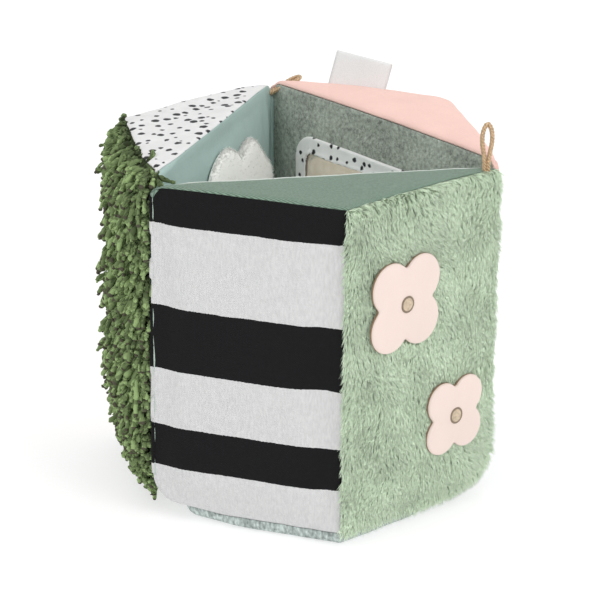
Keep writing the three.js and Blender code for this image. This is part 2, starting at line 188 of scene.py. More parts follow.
# ---- Materials ----
class Paint:
    """A material under construction: a Principled shader and short ways to add nodes to it."""

    def __init__(self, name, roughness=0.9, sheen=0.0, sheen_tint=(1, 1, 1), specular=0.3):
        self.material = bpy.data.materials.new(name)
        self.material.use_nodes = True
        self.tree = self.material.node_tree
        self.shader = self.tree.nodes["Principled BSDF"]
        self.shader.inputs["Roughness"].default_value = roughness
        self.shader.inputs["Specular IOR Level"].default_value = specular
        self.shader.inputs["Sheen Weight"].default_value = sheen
        self.shader.inputs["Sheen Roughness"].default_value = 0.45
        self.shader.inputs["Sheen Tint"].default_value = (*sheen_tint, 1)
        self.place = None

    def node(self, kind, **inputs):
        node = self.tree.nodes.new(kind)
        for name, value in inputs.items():
            self.feed(node.inputs[name.replace("_", " ")], value)
        return node

    def feed(self, socket, value):
        if isinstance(value, bpy.types.NodeSocket):
            self.tree.links.new(value, socket)
        elif isinstance(value, tuple) and len(value) == 3 and socket.type == "RGBA":
            socket.default_value = (*value, 1)
        else:
            socket.default_value = value

    def face_place(self, heading=0.0):
        """Object coordinates turned so that x runs along a face with this heading, and z stays up."""
        coordinates = self.tree.nodes.new("ShaderNodeTexCoord")
        turn = self.tree.nodes.new("ShaderNodeMapping")
        turn.vector_type = "TEXTURE"
        turn.inputs["Rotation"].default_value = (0, 0, math.radians(heading))
        self.tree.links.new(coordinates.outputs["Object"], turn.inputs["Vector"])
        self.place = turn.outputs["Vector"]
        return self.place

    def axis(self, letter):
        split = self.node("ShaderNodeSeparateXYZ", Vector=self.place)
        return split.outputs[letter]

    def math(self, operation, a, b=0.0, clamp=False):
        node = self.tree.nodes.new("ShaderNodeMath")
        node.operation = operation
        node.use_clamp = clamp
        self.feed(node.inputs[0], a)
        self.feed(node.inputs[1], b)
        return node.outputs[0]

    def weighed(self, a, a_share, b, b_share):
        """Two values added, each times its own share."""
        return self.math("ADD", self.math("MULTIPLY", a, a_share), self.math("MULTIPLY", b, b_share))

    def noise(self, scale, detail=2.0, roughness=0.5, stretch=None):
        place = self.place
        if stretch:
            place = self.node("ShaderNodeMapping", Vector=place, Scale=stretch).outputs["Vector"]
        node = self.node("ShaderNodeTexNoise", Vector=place, Scale=scale, Detail=detail, Roughness=roughness)
        return node.outputs["Fac"]

    def ramp(self, value, stops, interpolation="LINEAR"):
        node = self.tree.nodes.new("ShaderNodeValToRGB")
        node.color_ramp.interpolation = interpolation
        elements = node.color_ramp.elements
        while len(elements) < len(stops):
            elements.new(1.0)
        for element, (position, colour) in zip(elements, stops):
            element.position = position
            element.color = (*colour, 1) if isinstance(colour, tuple) else (colour, colour, colour, 1)
        self.feed(node.inputs["Fac"], value)
        return node.outputs["Color"]

    def mix(self, factor, a, b, blend="MIX"):
        node = self.tree.nodes.new("ShaderNodeMix")
        node.data_type = "RGBA"
        node.blend_type = blend
        self.feed(node.inputs[0], factor)
        self.feed(node.inputs[6], a)
        self.feed(node.inputs[7], b)
        return node.outputs[2]

    def colour(self, value):
        self.feed(self.shader.inputs["Base Color"], value)
        return self

    def bump(self, height, strength=0.5, distance=0.0005):
        node = self.node("ShaderNodeBump", Strength=strength, Distance=distance, Height=height)
        previous = self.shader.inputs["Normal"]
        if previous.is_linked:
            self.tree.links.new(previous.links[0].from_socket, node.inputs["Normal"])
        self.tree.links.new(node.outputs["Normal"], self.shader.inputs["Normal"])
        return self


def scaled(colour, factor):
    return tuple(min(1.0, c * factor) for c in colour)


def plain_weave(paint, threads, strength, up="Z"):
    """The bump of a plain weave with this many threads in a metre."""
    waves = []
    for letter in ("X", up):
        angle = paint.math("MULTIPLY", paint.axis(letter), 2 * math.pi * threads)
        waves.append(paint.math("SINE", angle))
    checks = paint.math("MULTIPLY", waves[0], waves[1])
    paint.bump(checks, strength, 0.35 / threads)


def cotton(name, colour, heading=0.0, threads=1100, sheen=0.1, mottle=0.06):
    """Woven cotton in one colour, with a slightly uneven dye and slubs in the yarn."""
    paint = Paint(name, roughness=0.92, sheen=sheen)
    paint.face_place(heading)
    uneven = paint.noise(90, detail=3)
    slubs = paint.noise(1500, detail=1, stretch=(0.12, 0.12, 1))
    shade = paint.weighed(uneven, mottle * 2, slubs, mottle)
    tones = [(0.0, scaled(colour, 1 - mottle)), (mottle * 3, scaled(colour, 1 + mottle))]
    paint.colour(paint.ramp(shade, tones))
    plain_weave(paint, threads, 0.5)
    paint.bump(paint.noise(260, detail=3), 0.25, 0.0012)
    return paint


def striped_cotton(heading, low, high, black, white, edges):
    """Bands of black and white, woven in, as shares of the face's height."""
    paint = Paint("striped_cotton", roughness=0.95, sheen=0.02, specular=0.12)
    paint.face_place(heading)
    height = paint.axis("Z")
    waver = paint.math("MULTIPLY", paint.math("SUBTRACT", paint.noise(60, detail=2), 0.5), 0.0012)
    ragged = paint.math("MULTIPLY", paint.math("SUBTRACT", paint.noise(1500, detail=0), 0.5), 0.0006)
    height = paint.math("ADD", height, paint.math("ADD", waver, ragged))
    share = paint.math("DIVIDE", paint.math("SUBTRACT", height, low), high - low)
    stops = [(0.0, white)]
    for k, edge in enumerate(edges):
        stops.append((edge, black if k % 2 == 0 else white))
    bands = paint.ramp(share, stops, "CONSTANT")
    lint = paint.ramp(paint.noise(900, detail=3, stretch=(1, 1, 0.3)), [(0.3, 0.86), (0.75, 1.0)])
    paint.colour(paint.mix(1.0, bands, lint, "MULTIPLY"))
    plain_weave(paint, 1000, 0.6)
    paint.bump(paint.noise(220, detail=3), 0.25, 0.0012)
    return paint


def dotted_cotton(name, heading, cell, small, large, share=0.8, level=False, white=0.8):
    """White cotton printed with scattered, uneven black dots."""
    paint = Paint(name, roughness=0.9, sheen=0.1)
    paint.face_place(heading)
    flat = paint.node("ShaderNodeCombineXYZ", X=paint.axis("X"), Y=paint.axis("Y" if level else "Z"))
    waver = paint.node("ShaderNodeTexNoise", Vector=flat.outputs["Vector"], Scale=420.0, Detail=1.0)
    shift = paint.node("ShaderNodeVectorMath")
    shift.operation = "MULTIPLY_ADD"
    paint.feed(shift.inputs[0], waver.outputs["Color"])
    shift.inputs[1].default_value = (0.0016, 0.0016, 0)
    paint.feed(shift.inputs[2], flat.outputs["Vector"])
    cells = paint.tree.nodes.new("ShaderNodeTexVoronoi")
    cells.voronoi_dimensions = "2D"
    cells.inputs["Scale"].default_value = 1 / cell
    cells.inputs["Randomness"].default_value = 0.85
    paint.feed(cells.inputs["Vector"], shift.outputs["Vector"])
    lottery = paint.node("ShaderNodeSeparateColor", Color=cells.outputs["Color"])
    radius = paint.math("MULTIPLY", lottery.outputs["Red"], (large - small) / cell)
    radius = paint.math("ADD", radius, small / cell)
    shown = paint.math("LESS_THAN", lottery.outputs["Green"], share)
    inside = paint.math("SUBTRACT", paint.math("MULTIPLY", radius, shown), cells.outputs["Distance"])
    dot = paint.math("MULTIPLY", inside, 14.0, clamp=True)
    whites = [scaled((white, white, white * 0.994), shade) for shade in (0.95, 1.04)]
    ground = paint.ramp(paint.noise(120, detail=3), [(0.3, whites[0]), (0.7, whites[1])])
    paint.colour(paint.mix(dot, ground, (0.016, 0.017, 0.02)))
    plain_weave(paint, 1300, 0.4, "Y" if level else "Z")
    paint.bump(paint.noise(260, detail=3), 0.2, 0.001)
    return paint


def twill(name, colour, ribs=900):
    """Twill: fine slanting ribs of two tones of yarn."""
    paint = Paint(name, roughness=0.9, sheen=0.15)
    paint.face_place()
    slant = paint.math("ADD", paint.axis("X"), paint.axis("Y"))
    rib = paint.math("SINE", paint.math("MULTIPLY", slant, 2 * math.pi * ribs / math.sqrt(2)))
    tone = paint.math("ADD", paint.math("MULTIPLY", rib, 0.5), 0.5)
    yarn = paint.math("MULTIPLY", paint.noise(700, detail=3), 0.9)
    shade = paint.weighed(tone, 0.5, yarn, 0.5)
    paint.colour(paint.ramp(shade, [(0.2, scaled(colour, 0.6)), (0.75, scaled(colour, 1.4))]))
    paint.bump(rib, 0.45, 0.0003)
    paint.bump(paint.noise(200, detail=3), 0.3, 0.0014)
    return paint


def jersey(name, colour):
    """Melange jersey knit: flecked yarn in fine columns."""
    paint = Paint(name, roughness=0.95, sheen=0.2)
    paint.face_place(0)
    flecks = paint.noise(650, detail=3, stretch=(1, 1, 0.45))
    large = paint.noise(150, detail=2)
    shade = paint.weighed(flecks, 0.75, large, 0.25)
    tones = [(0.36, scaled(colour, 0.55)), (0.5, colour), (0.64, scaled(colour, 1.5))]
    paint.colour(paint.ramp(shade, tones))
    paint.bump(flecks, 0.6, 0.0006)
    return paint


def velour(name, colour, heading=0.0, nap=0.1, sheen=0.6, grain=380, strength=0.35, speckle=3.0, patchy=0.65):
    """A short pile: soft sheen, a fine grain and patches where the nap lies another way."""
    paint = Paint(name, roughness=0.85, sheen=sheen, sheen_tint=scaled(colour, 1.4), specular=0.15)
    paint.face_place(heading)
    patches = paint.noise(42, detail=3, roughness=0.6, stretch=(1, 1, 0.6))
    fine = paint.noise(grain * speckle, detail=3, roughness=0.7)
    shade = paint.weighed(patches, patchy, fine, 1 - patchy)
    paint.colour(paint.ramp(shade, [(0.32, scaled(colour, 1 - nap)), (0.68, scaled(colour, 1 + nap))]))
    paint.bump(paint.noise(grain, detail=4, roughness=0.7), strength, 0.0012)
    return paint


RIB_PITCH = 0.0042


def ribbed(name, colour, heading):
    """Ribbed velvet: upright cords with a short nap."""
    paint = Paint(name, roughness=0.85, sheen=0.6, sheen_tint=scaled(colour, 1.5), specular=0.15)
    paint.face_place(heading)
    wave = paint.math("SINE", paint.math("MULTIPLY", paint.axis("X"), 2 * math.pi / RIB_PITCH))
    cord = paint.math("ADD", paint.math("MULTIPLY", wave, 0.5), 0.5)
    cord = paint.math("SQRT", paint.math("ABSOLUTE", cord))
    fine = paint.noise(900, detail=3)
    # Painted shade: the colour darkens to half in the grooves between the cords, where shade falls.
    shade = paint.weighed(cord, 0.7, fine, 0.3)
    paint.colour(paint.ramp(shade, [(0.2, scaled(colour, 0.5)), (0.85, scaled(colour, 1.15))]))
    paint.bump(cord, 0.9, 0.0014)
    paint.bump(fine, 0.3, 0.0004)
    return paint


def soft_plastic(name, colour):
    paint = Paint(name, roughness=0.45, specular=0.5)
    paint.face_place(0)
    tones = [(0.3, scaled(colour, 0.95)), (0.7, scaled(colour, 1.03))]
    paint.colour(paint.ramp(paint.noise(300, detail=2), tones))
    paint.bump(paint.noise(1500, detail=2), 0.15, 0.0002)
    return paint


def yarn_paint(name, colour, roughness=0.9, sheen=0.3):
    """One shade of a pile. Piles take several, strand by strand, from root to tip."""
    paint = Paint(name, roughness=roughness, sheen=sheen, sheen_tint=scaled(colour, 1.5), specular=0.12)
    paint.colour(colour)
    return paint.material


# ---- Mesh helpers ----
def mesh_object(name, points, faces, materials=(), face_slots=None):
    mesh = bpy.data.meshes.new(name)
    mesh.from_pydata([tuple(p) for p in points], [], [tuple(int(i) for i in f) for f in faces])
    for material in materials:
        mesh.materials.append(material)
    if face_slots is not None:
        mesh.polygons.foreach_set("material_index", np.asarray(face_slots, np.int32))
    mesh.polygons.foreach_set("use_smooth", np.ones(len(mesh.polygons), bool))
    mesh.update()
    piece = bpy.data.objects.new(name, mesh)
    bpy.context.scene.collection.objects.link(piece)
    return piece


def coordinates(mesh):
    flat = np.zeros(len(mesh.vertices) * 3)
    mesh.vertices.foreach_get("co", flat)
    return flat.reshape(-1, 3)


def apply_modifiers(piece):
    """Bakes a piece's modifiers into its mesh."""
    graph = bpy.context.evaluated_depsgraph_get()
    mesh = bpy.data.meshes.new_from_object(piece.evaluated_get(graph))
    piece.modifiers.clear()
    piece.data = mesh
    return piece


def finish_piece(piece, body, slot, *nodes):
    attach(piece, body)
    if nodes:
        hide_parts(*nodes)
    return piece


def unit(vectors):
    return vectors / np.maximum(np.linalg.norm(vectors, axis=-1, keepdims=True), 1e-12)


# ---- Cushions ----
TIP_RADIUS = 0.5 * MM
# How far each cushion's first and last corners reach past the pattern's.
TIP_REACH = {"front": (1.6 * MM, 1.6 * MM), "left": (1.2 * MM, -1.5 * MM), "rear": (0.8 * MM, 1.1 * MM)}
APEX_RADIUS = {"front": 3 * MM, "left": 4 * MM, "rear": 11 * MM}
# How far the top and base seams round over towards each cushion's two thin corners.
TOP_ROUND = {"front": (7 * MM, 4 * MM), "left": (8 * MM, 2 * MM), "rear": (9 * MM, 5 * MM)}
BASE_ROUND = {"front": (5 * MM, 5 * MM), "left": (10 * MM, 5 * MM), "rear": (8 * MM, 10 * MM)}
BASE_BULGE = 5 * MM
BASE_LIFT = 1.5 * MM
# How far the walls roll in at each cushion's first and last corners, under the base and over the top.
BASE_TUCK = {"front": (18 * MM, 22 * MM), "left": (0, 28 * MM), "rear": (16 * MM, 0)}
TOP_TUCK = {"front": (0, 0), "left": (0, 15 * MM), "rear": (0, 0)}
# How far each side's top seam bows out and up in its middle.
TOP_BOW = {
    "front": ((0, 0), (0, 1.0 * MM), (0.5 * MM, 0)),
    "left": ((0, 1 * MM), (0, 0), (4 * MM, 3.5 * MM)),
    "rear": ((0, 1.5 * MM), (0, 1.5 * MM), (0.5 * MM, 1.5 * MM)),
}
ARC_STEPS = 4
SHORT_STEPS = 24
LONG_STEPS = 40
WALL_STEPS = 40
CAP_RINGS = (0.965, 0.9, 0.8, 0.66, 0.5, 0.33, 0.16)
PANEL_THICKNESS = 1.3 * MM
SEAM_GAP = 0.25 * MM


def eased(steps, ends=0.45):
    """Steps from 0 to 1 that are closer together at both ends."""
    t = np.linspace(0, 1, steps + 1)
    return (1 - ends) * t + ends * (1 - np.cos(math.pi * t)) / 2


def side_path(corners, apex_radius, i):
    """A cushion side's plan line, from the middle of one rounded corner to the middle of the next."""
    radii = (TIP_RADIUS, apex_radius, TIP_RADIUS)

    def arc(k):
        arriving = unit(corners[k] - corners[(k + 2) % 3])
        leaving = unit(corners[(k + 1) % 3] - corners[k])
        half = math.acos(float(-arriving @ leaving)) / 2
        centre = corners[k] + unit(leaving - arriving) * radii[k] / math.sin(half)
        start = math.atan2(-arriving[0], arriving[1])
        return centre, radii[k], start, math.pi - 2 * half

    def on_arc(k, shares):
        centre, radius, start, sweep = arc(k)
        angles = start + sweep * shares
        return centre + radius * np.stack([np.cos(angles), np.sin(angles)], -1)

    first = on_arc(i, np.linspace(0.5, 1, ARC_STEPS + 1))
    last = on_arc((i + 1) % 3, np.linspace(0, 0.5, ARC_STEPS + 1))
    shares = eased(LONG_STEPS if i == 2 else SHORT_STEPS)[1:-1, None]
    return np.concatenate([first, first[-1] * (1 - shares) + last[0] * shares, last])


def tip_drop(points, corners, radii):
    """How far a seam rounds over towards the cushion's two thin corners."""
    drop = np.zeros(len(points))
    for tip, radius in zip((corners[0], corners[2]), radii):
        middle = sum(corners) / 3
        nose = tip + unit(middle - tip) * TIP_RADIUS * 2.86
        inwards = np.clip((points - nose) @ unit(middle - tip) / radius, 0, 1)
        drop = np.maximum(drop, radius * (1 - np.sqrt(1 - (1 - inwards) ** 2)))
    return drop


def tucked(points, corners, amounts):
    """Draws a plan's first and last corners in, so that their tips move by the amounts."""
    for tip, amount in zip((corners[0], corners[2]), amounts):
        inward = unit(sum(corners) / 3 - tip)
        depth = (points - tip) @ inward
        shift = amount * (1 - depth / max(2.4 * amount, 1e-9)).clip(0, 1)
        points = points + shift[:, None] * inward
    return points


def roll(gap, tucks):
    """How much of its tuck each corner has, this far up or down from where the wall ends."""
    climb = [1 - min(gap / max(tuck, 1e-9), 1) for tuck in tucks]
    return np.array([tuck * (1 - math.sqrt(1 - c**2)) for tuck, c in zip(tucks, climb)])


class CushionShell:
    """A closed grid of rings, from the middle of the base up the walls to the middle of the top."""

    def __init__(self, name, crown):
        corners, top = CUSHIONS[name]
        middle = sum(corners) / 3
        reach = TIP_REACH[name]
        first = corners[0] + unit(corners[0] - middle) * reach[0]
        corners = [first, corners[1], corners[2] + unit(corners[2] - middle) * reach[1]]
        paths = [side_path(corners, APEX_RADIUS[name], i) for i in range(3)]
        outline = np.concatenate([path[:-1] for path in paths])
        bow = self.top_bow(paths, corners, TOP_BOW[name])
        self.count = len(outline)
        self.side_of = np.concatenate([np.full(len(path) - 1, i) for i, path in enumerate(paths)])
        # The two outer panels wrap round the thin corners, so the well's panel gives up its ends.
        well = np.flatnonzero(self.side_of == 2)
        self.side_of[well[:ARC_STEPS]] = 1
        self.side_of[well[-ARC_STEPS:]] = 0
        sides = [np.linalg.norm(corners[(i + 1) % 3] - corners[i]) for i in range(3)]
        weights = [sides[1], sides[2], sides[0]]
        incentre = sum(w * c for w, c in zip(weights, corners)) / sum(weights)
        over, under = TOP_TUCK[name], BASE_TUCK[name]
        low = LOWER_SEAM + BASE_LIFT + tip_drop(outline, corners, BASE_ROUND[name])
        high = top - tip_drop(outline, corners, TOP_ROUND[name])
        inradius = float(abs(np.cross(corners[1] - corners[0], incentre - corners[0])) / sides[0])
        rings, kinds = [], []

        def add_ring(share, heights, kind, bowed, tucks):
            drawn_in = tucked(outline, corners, tucks)
            flat = incentre + (drawn_in + bow[:, :2] * bowed - incentre) * share
            heights = heights + bow[:, 2] * bowed * share
            rings.append(np.concatenate([flat, heights[:, None]], 1))
            kinds.append(kind)

        for share in CAP_RINGS[::-1]:
            inset = inradius * (1 - share)
            bulge = math.sqrt(max(0.0, 1 - (1 - min(inset / BASE_BULGE, 1)) ** 2))
            drop = tip_drop(incentre + (outline - incentre) * share, corners, BASE_ROUND[name])
            add_ring(share, (LOWER_SEAM + BASE_LIFT) * (1 - bulge) + drop, "base", 0, under)
        for share in eased(WALL_STEPS, 0.6):
            wall = float(high.max() - low.min())
            tucks = roll(wall * (1 - share), over) + roll(wall * share, under)
            add_ring(1.0, low + (high - low) * share, "wall", share**1.5, tucks)
        for share in CAP_RINGS:
            inset = min(inradius * (1 - share) / (0.75 * inradius), 1)
            rise = crown * math.sqrt(1 - (1 - inset) ** 2)
            drop = tip_drop(incentre + (outline - incentre) * share, corners, TOP_ROUND[name])
            add_ring(share, top - drop + rise, "top", 1.0, over)
        self.heart = np.array([*incentre, (LOWER_SEAM + top) / 2])
        centre = [[*incentre, 0.0], [*incentre, top + crown]]
        self.points = np.concatenate([*rings, centre])
        self.kinds = kinds
        on_wall = np.repeat([kind == "wall" for kind in kinds], self.count)
        self.on_wall = np.concatenate([on_wall, [False, False]])
        self.rings = len(rings)
        self.make_faces()
        self.seams()

    def top_bow(self, paths, corners, amounts):
        """How the top seam leaves its straight pattern: out of each side and up."""
        rows = []
        for i, (path, (out, up)) in enumerate(zip(paths, amounts)):
            along = unit(corners[(i + 1) % 3] - corners[i])
            share = ((path[:-1] - path[0]) @ along / np.linalg.norm(path[-1] - path[0])).clip(0, 1)
            swell = np.sin(math.pi * share)[:, None]
            rows.append(np.concatenate([swell * out * np.array([along[1], -along[0]]), swell * up], 1))
        return np.concatenate(rows)

    def make_faces(self):
        """Quads between rings. Panels 0 to 2 are the sides, 3 is the base and 4 the top."""
        faces, panels = [], []
        n = self.count
        for ring in range(self.rings - 1):
            wall = self.kinds[ring] == "wall" and self.kinds[ring + 1] == "wall"
            cap = 3 if self.kinds[ring] == "base" else 4
            for k in range(n):
                a, b = ring * n + k, ring * n + (k + 1) % n
                faces.append((a, b, b + n, a + n))
                panels.append(self.side_of[k] if wall else cap)
        bottom, top = self.rings * n, self.rings * n + 1
        last = (self.rings - 1) * n
        for k in range(n):
            faces.append((bottom, (k + 1) % n, k))
            panels.append(3)
            faces.append((top, last + k, last + (k + 1) % n))
            panels.append(4)
        self.faces = faces
        self.panels = np.array(panels)

    def seams(self):
        """Each point's distance from its nearest seam."""
        walls = [i for i, kind in enumerate(self.kinds) if kind == "wall"]
        n = self.count
        lines = [self.points[walls[0] * n : walls[0] * n + n], self.points[walls[-1] * n : walls[-1] * n + n]]
        for i in range(3):
            k = int(np.argmax(self.side_of == i))
            lines.append(self.points[[w * n + k for w in walls]])
        seam_points = np.concatenate(lines)
        gaps = self.points[:, None, :] - seam_points[None, :, :]
        self.seam_distance = np.sqrt((gaps**2).sum(-1).min(1))

    def mesh(self, name):
        return mesh_object(name, self.points, self.faces)


def vertex_normals(points, faces):
    normals = np.zeros_like(points)
    for size in (3, 4):
        chosen = np.array([f for f in faces if len(f) == size])
        if len(chosen) == 0:
            continue
        a, b, c = points[chosen[:, 0]], points[chosen[:, 1]], points[chosen[:, 2]]
        face_normals = np.cross(b - a, c - a)
        if size == 4:
            d = points[chosen[:, 3]]
            face_normals = np.cross(c - a, d - b)
        for column in range(size):
            np.add.at(normals, chosen[:, column], face_normals)
    return unit(normals)


PRESSURE = 3.5
SIM_FRAMES = 20
SIM_CAP = 7 * MM


def inflate(shell, name):
    """Cloth simulation: air pressure puffs the cover, and no point may move more than the cap."""
    piece = shell.mesh(name + "_sim")
    cloth = piece.modifiers.new("cloth", "CLOTH")
    cloth.settings.quality = 6
    cloth.settings.mass = 0.25
    cloth.settings.tension_stiffness = 30
    cloth.settings.compression_stiffness = 30
    cloth.settings.shear_stiffness = 12
    cloth.settings.bending_stiffness = 1.5
    cloth.settings.use_pressure = True
    cloth.settings.uniform_pressure_force = PRESSURE
    cloth.settings.effector_weights.gravity = 0
    cloth.collision_settings.use_collision = False
    cloth.point_cache.frame_start = 1
    cloth.point_cache.frame_end = SIM_FRAMES
    scene = bpy.context.scene
    for number in range(1, SIM_FRAMES + 1):
        scene.frame_set(number)
    graph = bpy.context.evaluated_depsgraph_get()
    moved = coordinates(piece.evaluated_get(graph).data)
    scene.frame_set(1)
    bpy.data.objects.remove(piece)
    shift = moved - shell.points
    length = np.linalg.norm(shift, axis=1, keepdims=True)
    return shift * np.minimum(1, SIM_CAP / np.maximum(length, 1e-9))


def analytic_puff(shell):
    """A smooth crown on every face."""
    rise = np.where(shell.on_wall, 4, 1.5) * MM * (1 - np.exp(-shell.seam_distance / (16 * MM)))
    outward = np.where(shell.points[:, 2:] > shell.heart[2], 1.0, -1.0) * np.array([[0, 0, 1.0]])
    outward = np.where(shell.on_wall[:, None], vertex_normals(shell.points, shell.faces), outward)
    return outward * rise[:, None]


def smooth_noise(points, scale, seed=0.0):
    return np.array([noise(Vector(p) * scale + Vector((seed, seed * 0.7, -seed))) for p in points])


def puff(shell, name, strength):
    """Moves a shell from its flat pattern to its stuffed shape, with pinched, puckered seams."""
    shift = analytic_puff(shell)
    shift = np.where(shell.on_wall[:, None], inflate(shell, name), shift)
    distance = shell.seam_distance
    hold = 1 - np.exp(-((distance / (9 * MM)) ** 2))
    points = shell.points + shift * (strength * hold)[:, None]
    normals = vertex_normals(points, shell.faces)
    groove = -0.55 * MM * np.exp(-((distance / (1.6 * MM)) ** 2))
    lip = 0.35 * MM * np.exp(-(((distance - 4 * MM) / (2.5 * MM)) ** 2))
    puckers = smooth_noise(shell.points, 105, 3.1) * 0.8 * MM * np.exp(-distance / (7 * MM))
    waves = smooth_noise(shell.points, 24, 8.7) * 0.9 * MM * hold
    points = points + normals * (groove + lip + puckers + waves)[:, None]
    if name == "left":
        points += well_folds(shell, hold)
    points[:, 2] = np.maximum(points[:, 2], 0.0)
    return points


def well_folds(shell, hold):
    """Soft upright folds where the cloud's panel runs into the rear hinge."""
    gap = np.linalg.norm(shell.points[:, :2] - RING[4], axis=1)
    facing = unit(vertex_normals(shell.points, shell.faces)) @ np.array([*CLOUD_FACE.out, 0.0])
    deep = 1.8 * MM * np.sin(2 * math.pi * gap / (13 * MM)) * np.exp(-((gap / (34 * MM)) ** 2))
    return (deep * hold * (facing > 0.5))[:, None] * np.array([*CLOUD_FACE.out, 0.0])


def cut_panel(shell, points, panel, name, material):
    """One cover panel as a closed sheet of fabric, a hair short of its seams."""
    chosen = [f for f, p in zip(shell.faces, shell.panels) if p == panel]
    used = sorted({i for f in chosen for i in f})
    index = {old: new for new, old in enumerate(used)}
    faces = [tuple(index[i] for i in f) for f in chosen]
    local = points[used].copy()
    edges = {}
    for face in faces:
        for a, b in zip(face, face[1:] + face[:1]):
            edges[(min(a, b), max(a, b))] = edges.get((min(a, b), max(a, b)), 0) + 1
    neighbours = {}
    rim = set()
    for (a, b), uses in edges.items():
        neighbours.setdefault(a, []).append(b)
        neighbours.setdefault(b, []).append(a)
        if uses == 1:
            rim.update((a, b))
    pulled = local.copy()
    for a in rim:
        inner = [b for b in neighbours[a] if b not in rim] or neighbours[a]
        towards = np.mean([local[b] for b in inner], axis=0) - local[a]
        pulled[a] += unit(towards) * SEAM_GAP
    piece = mesh_object(name, pulled, faces, [material])
    fine = piece.modifiers.new("fine", "SUBSURF")
    fine.levels = fine.render_levels = 1
    fine.boundary_smooth = "PRESERVE_CORNERS"
    thick = piece.modifiers.new("thick", "SOLIDIFY")
    thick.thickness = PANEL_THICKNESS
    thick.offset = -1
    return apply_modifiers(piece)


FILLING_SHRINK = np.array([0.88, 0.88, 0.955])


def filling(shell, points, name, material):
    """The stuffing inside a cover: the same form, smaller and lumpier."""
    lumps = smooth_noise(shell.points, 60, 5.5) * 0.4 * MM
    inner = shell.heart + (points - shell.heart) * FILLING_SHRINK
    inner = inner + vertex_normals(inner, shell.faces) * lumps[:, None]
    return mesh_object(name, inner, shell.faces, [material])


STRIPE_EDGES = (0.143, 0.272, 0.449, 0.642, 0.893)
BLACK = (0.013, 0.013, 0.014)
WHITE = (0.78, 0.78, 0.78)
SAGE = (0.18, 0.26, 0.20)
TEAL = (0.42, 0.56, 0.525)
MINT = (0.52, 0.64, 0.56)
MELANGE = (0.40, 0.46, 0.44)
PEACH = (0.89, 0.61, 0.545)
GREY_PLUSH = (0.36, 0.395, 0.345)
OAT = (0.70, 0.66, 0.58)
FILL = (0.85, 0.84, 0.80)


def cover_paints():
    """Each cushion's fabrics: its three sides, base and top."""
    jersey_base = jersey("melange_jersey", MELANGE)
    front_top = CUSHIONS["front"][1]
    return {
        "front": [
            striped_cotton(Face("front", 0).heading, LOWER_SEAM, front_top, BLACK, WHITE, STRIPE_EDGES),
            velour("fur_backing", (0.42, 0.52, 0.37), FUR_FACE.heading),
            cotton("mint_cotton", MINT, Face("front", 2).heading),
            jersey_base,
            twill("sage_twill", SAGE),
        ],
        "left": [
            velour("peach_velour_side", PEACH, Face("left", 0).heading),
            # Painted shade: the backing is near black, for the shade deep between the noodles.
            velour("chenille_backing", (0.06, 0.085, 0.035), CHENILLE_FACE.heading),
            cotton("teal_cotton", TEAL, CLOUD_FACE.heading),
            jersey_base,
            dotted_cotton("dotted_cotton_top", 20, 0.0080, 0.0010, 0.0027, 0.88, level=True, white=0.82),
        ],
        "rear": [
            ribbed("ribbed_velvet", (0.25, 0.34, 0.30), Face("rear", 0).heading),
            cotton("oat_linen", OAT, Face("rear", 1).heading, threads=700, mottle=0.1),
            velour(
                "grey_plush", GREY_PLUSH, MIRROR_FACE.heading, nap=0.6, sheen=0.8, grain=420, strength=1.0,
                speckle=1.1, patchy=0.3
            ),
            jersey_base,
            velour("peach_velour_top", PEACH, Face("rear", 1).heading, nap=0.05, sheen=0.2),
        ],
    }


PANEL_NODES = {
    "front": (
        "front_striped_panel", "front_fur_backing", "front_well_panel",
        "front_base_panel", "front_top_panel",
    ),
    "left": (
        "left_outer_panel", "left_chenille_backing", "left_well_panel",
        "left_base_panel", "left_top_panel",
    ),
    "rear": (
        "rear_right_panel", "rear_left_panel", "rear_well_panel",
        "rear_base_panel", "rear_top_panel",
    ),
}
SLOT_OF = {row["node"]: row["material_slot"] for row in frame["record"]["subparts"]}
CROWN = {"front": 1.5 * MM, "left": 1.5 * MM, "rear": 5 * MM}
PUFF = {"front": 0.5, "left": 0.35, "rear": 0.35}
foam_paint = velour("polyester_filling", FILL, sheen=0.2).material
surfaces = {}


def build_cushions():
    paints = cover_paints()
    for name in CUSHIONS:
        shell = CushionShell(name, CROWN[name])
        points = puff(shell, name, PUFF[name])
        surfaces[name] = (shell, points)
        body = name + "_cushion"
        for panel, node in enumerate(PANEL_NODES[name]):
            piece = cut_panel(shell, points, panel, node + "_cloth", paints[name][panel].material)
            finish_piece(piece, body, SLOT_OF[node], node)
        stuffing = filling(shell, points, name + "_filling", foam_paint)
        finish_piece(stuffing, body, "foam", name + "_foam_core")


build_cushions()


# ---- Piles ----
def triangle_object(name, points, triangles, materials, slots):
    mesh = bpy.data.meshes.new(name)
    mesh.vertices.add(len(points))
    mesh.vertices.foreach_set("co", points.astype(np.float32).ravel())
    mesh.loops.add(triangles.size)
    mesh.loops.foreach_set("vertex_index", triangles.astype(np.int32).ravel())
    mesh.polygons.add(len(triangles))
    mesh.polygons.foreach_set("loop_start", np.arange(0, triangles.size, 3, dtype=np.int32))
    for material in materials:
        mesh.materials.append(material)
    mesh.polygons.foreach_set("material_index", slots.astype(np.int32))
    mesh.polygons.foreach_set("use_smooth", np.ones(len(triangles), bool))
    mesh.update(calc_edges=True)
    piece = bpy.data.objects.new(name, mesh)
    bpy.context.scene.collection.objects.link(piece)
    return piece


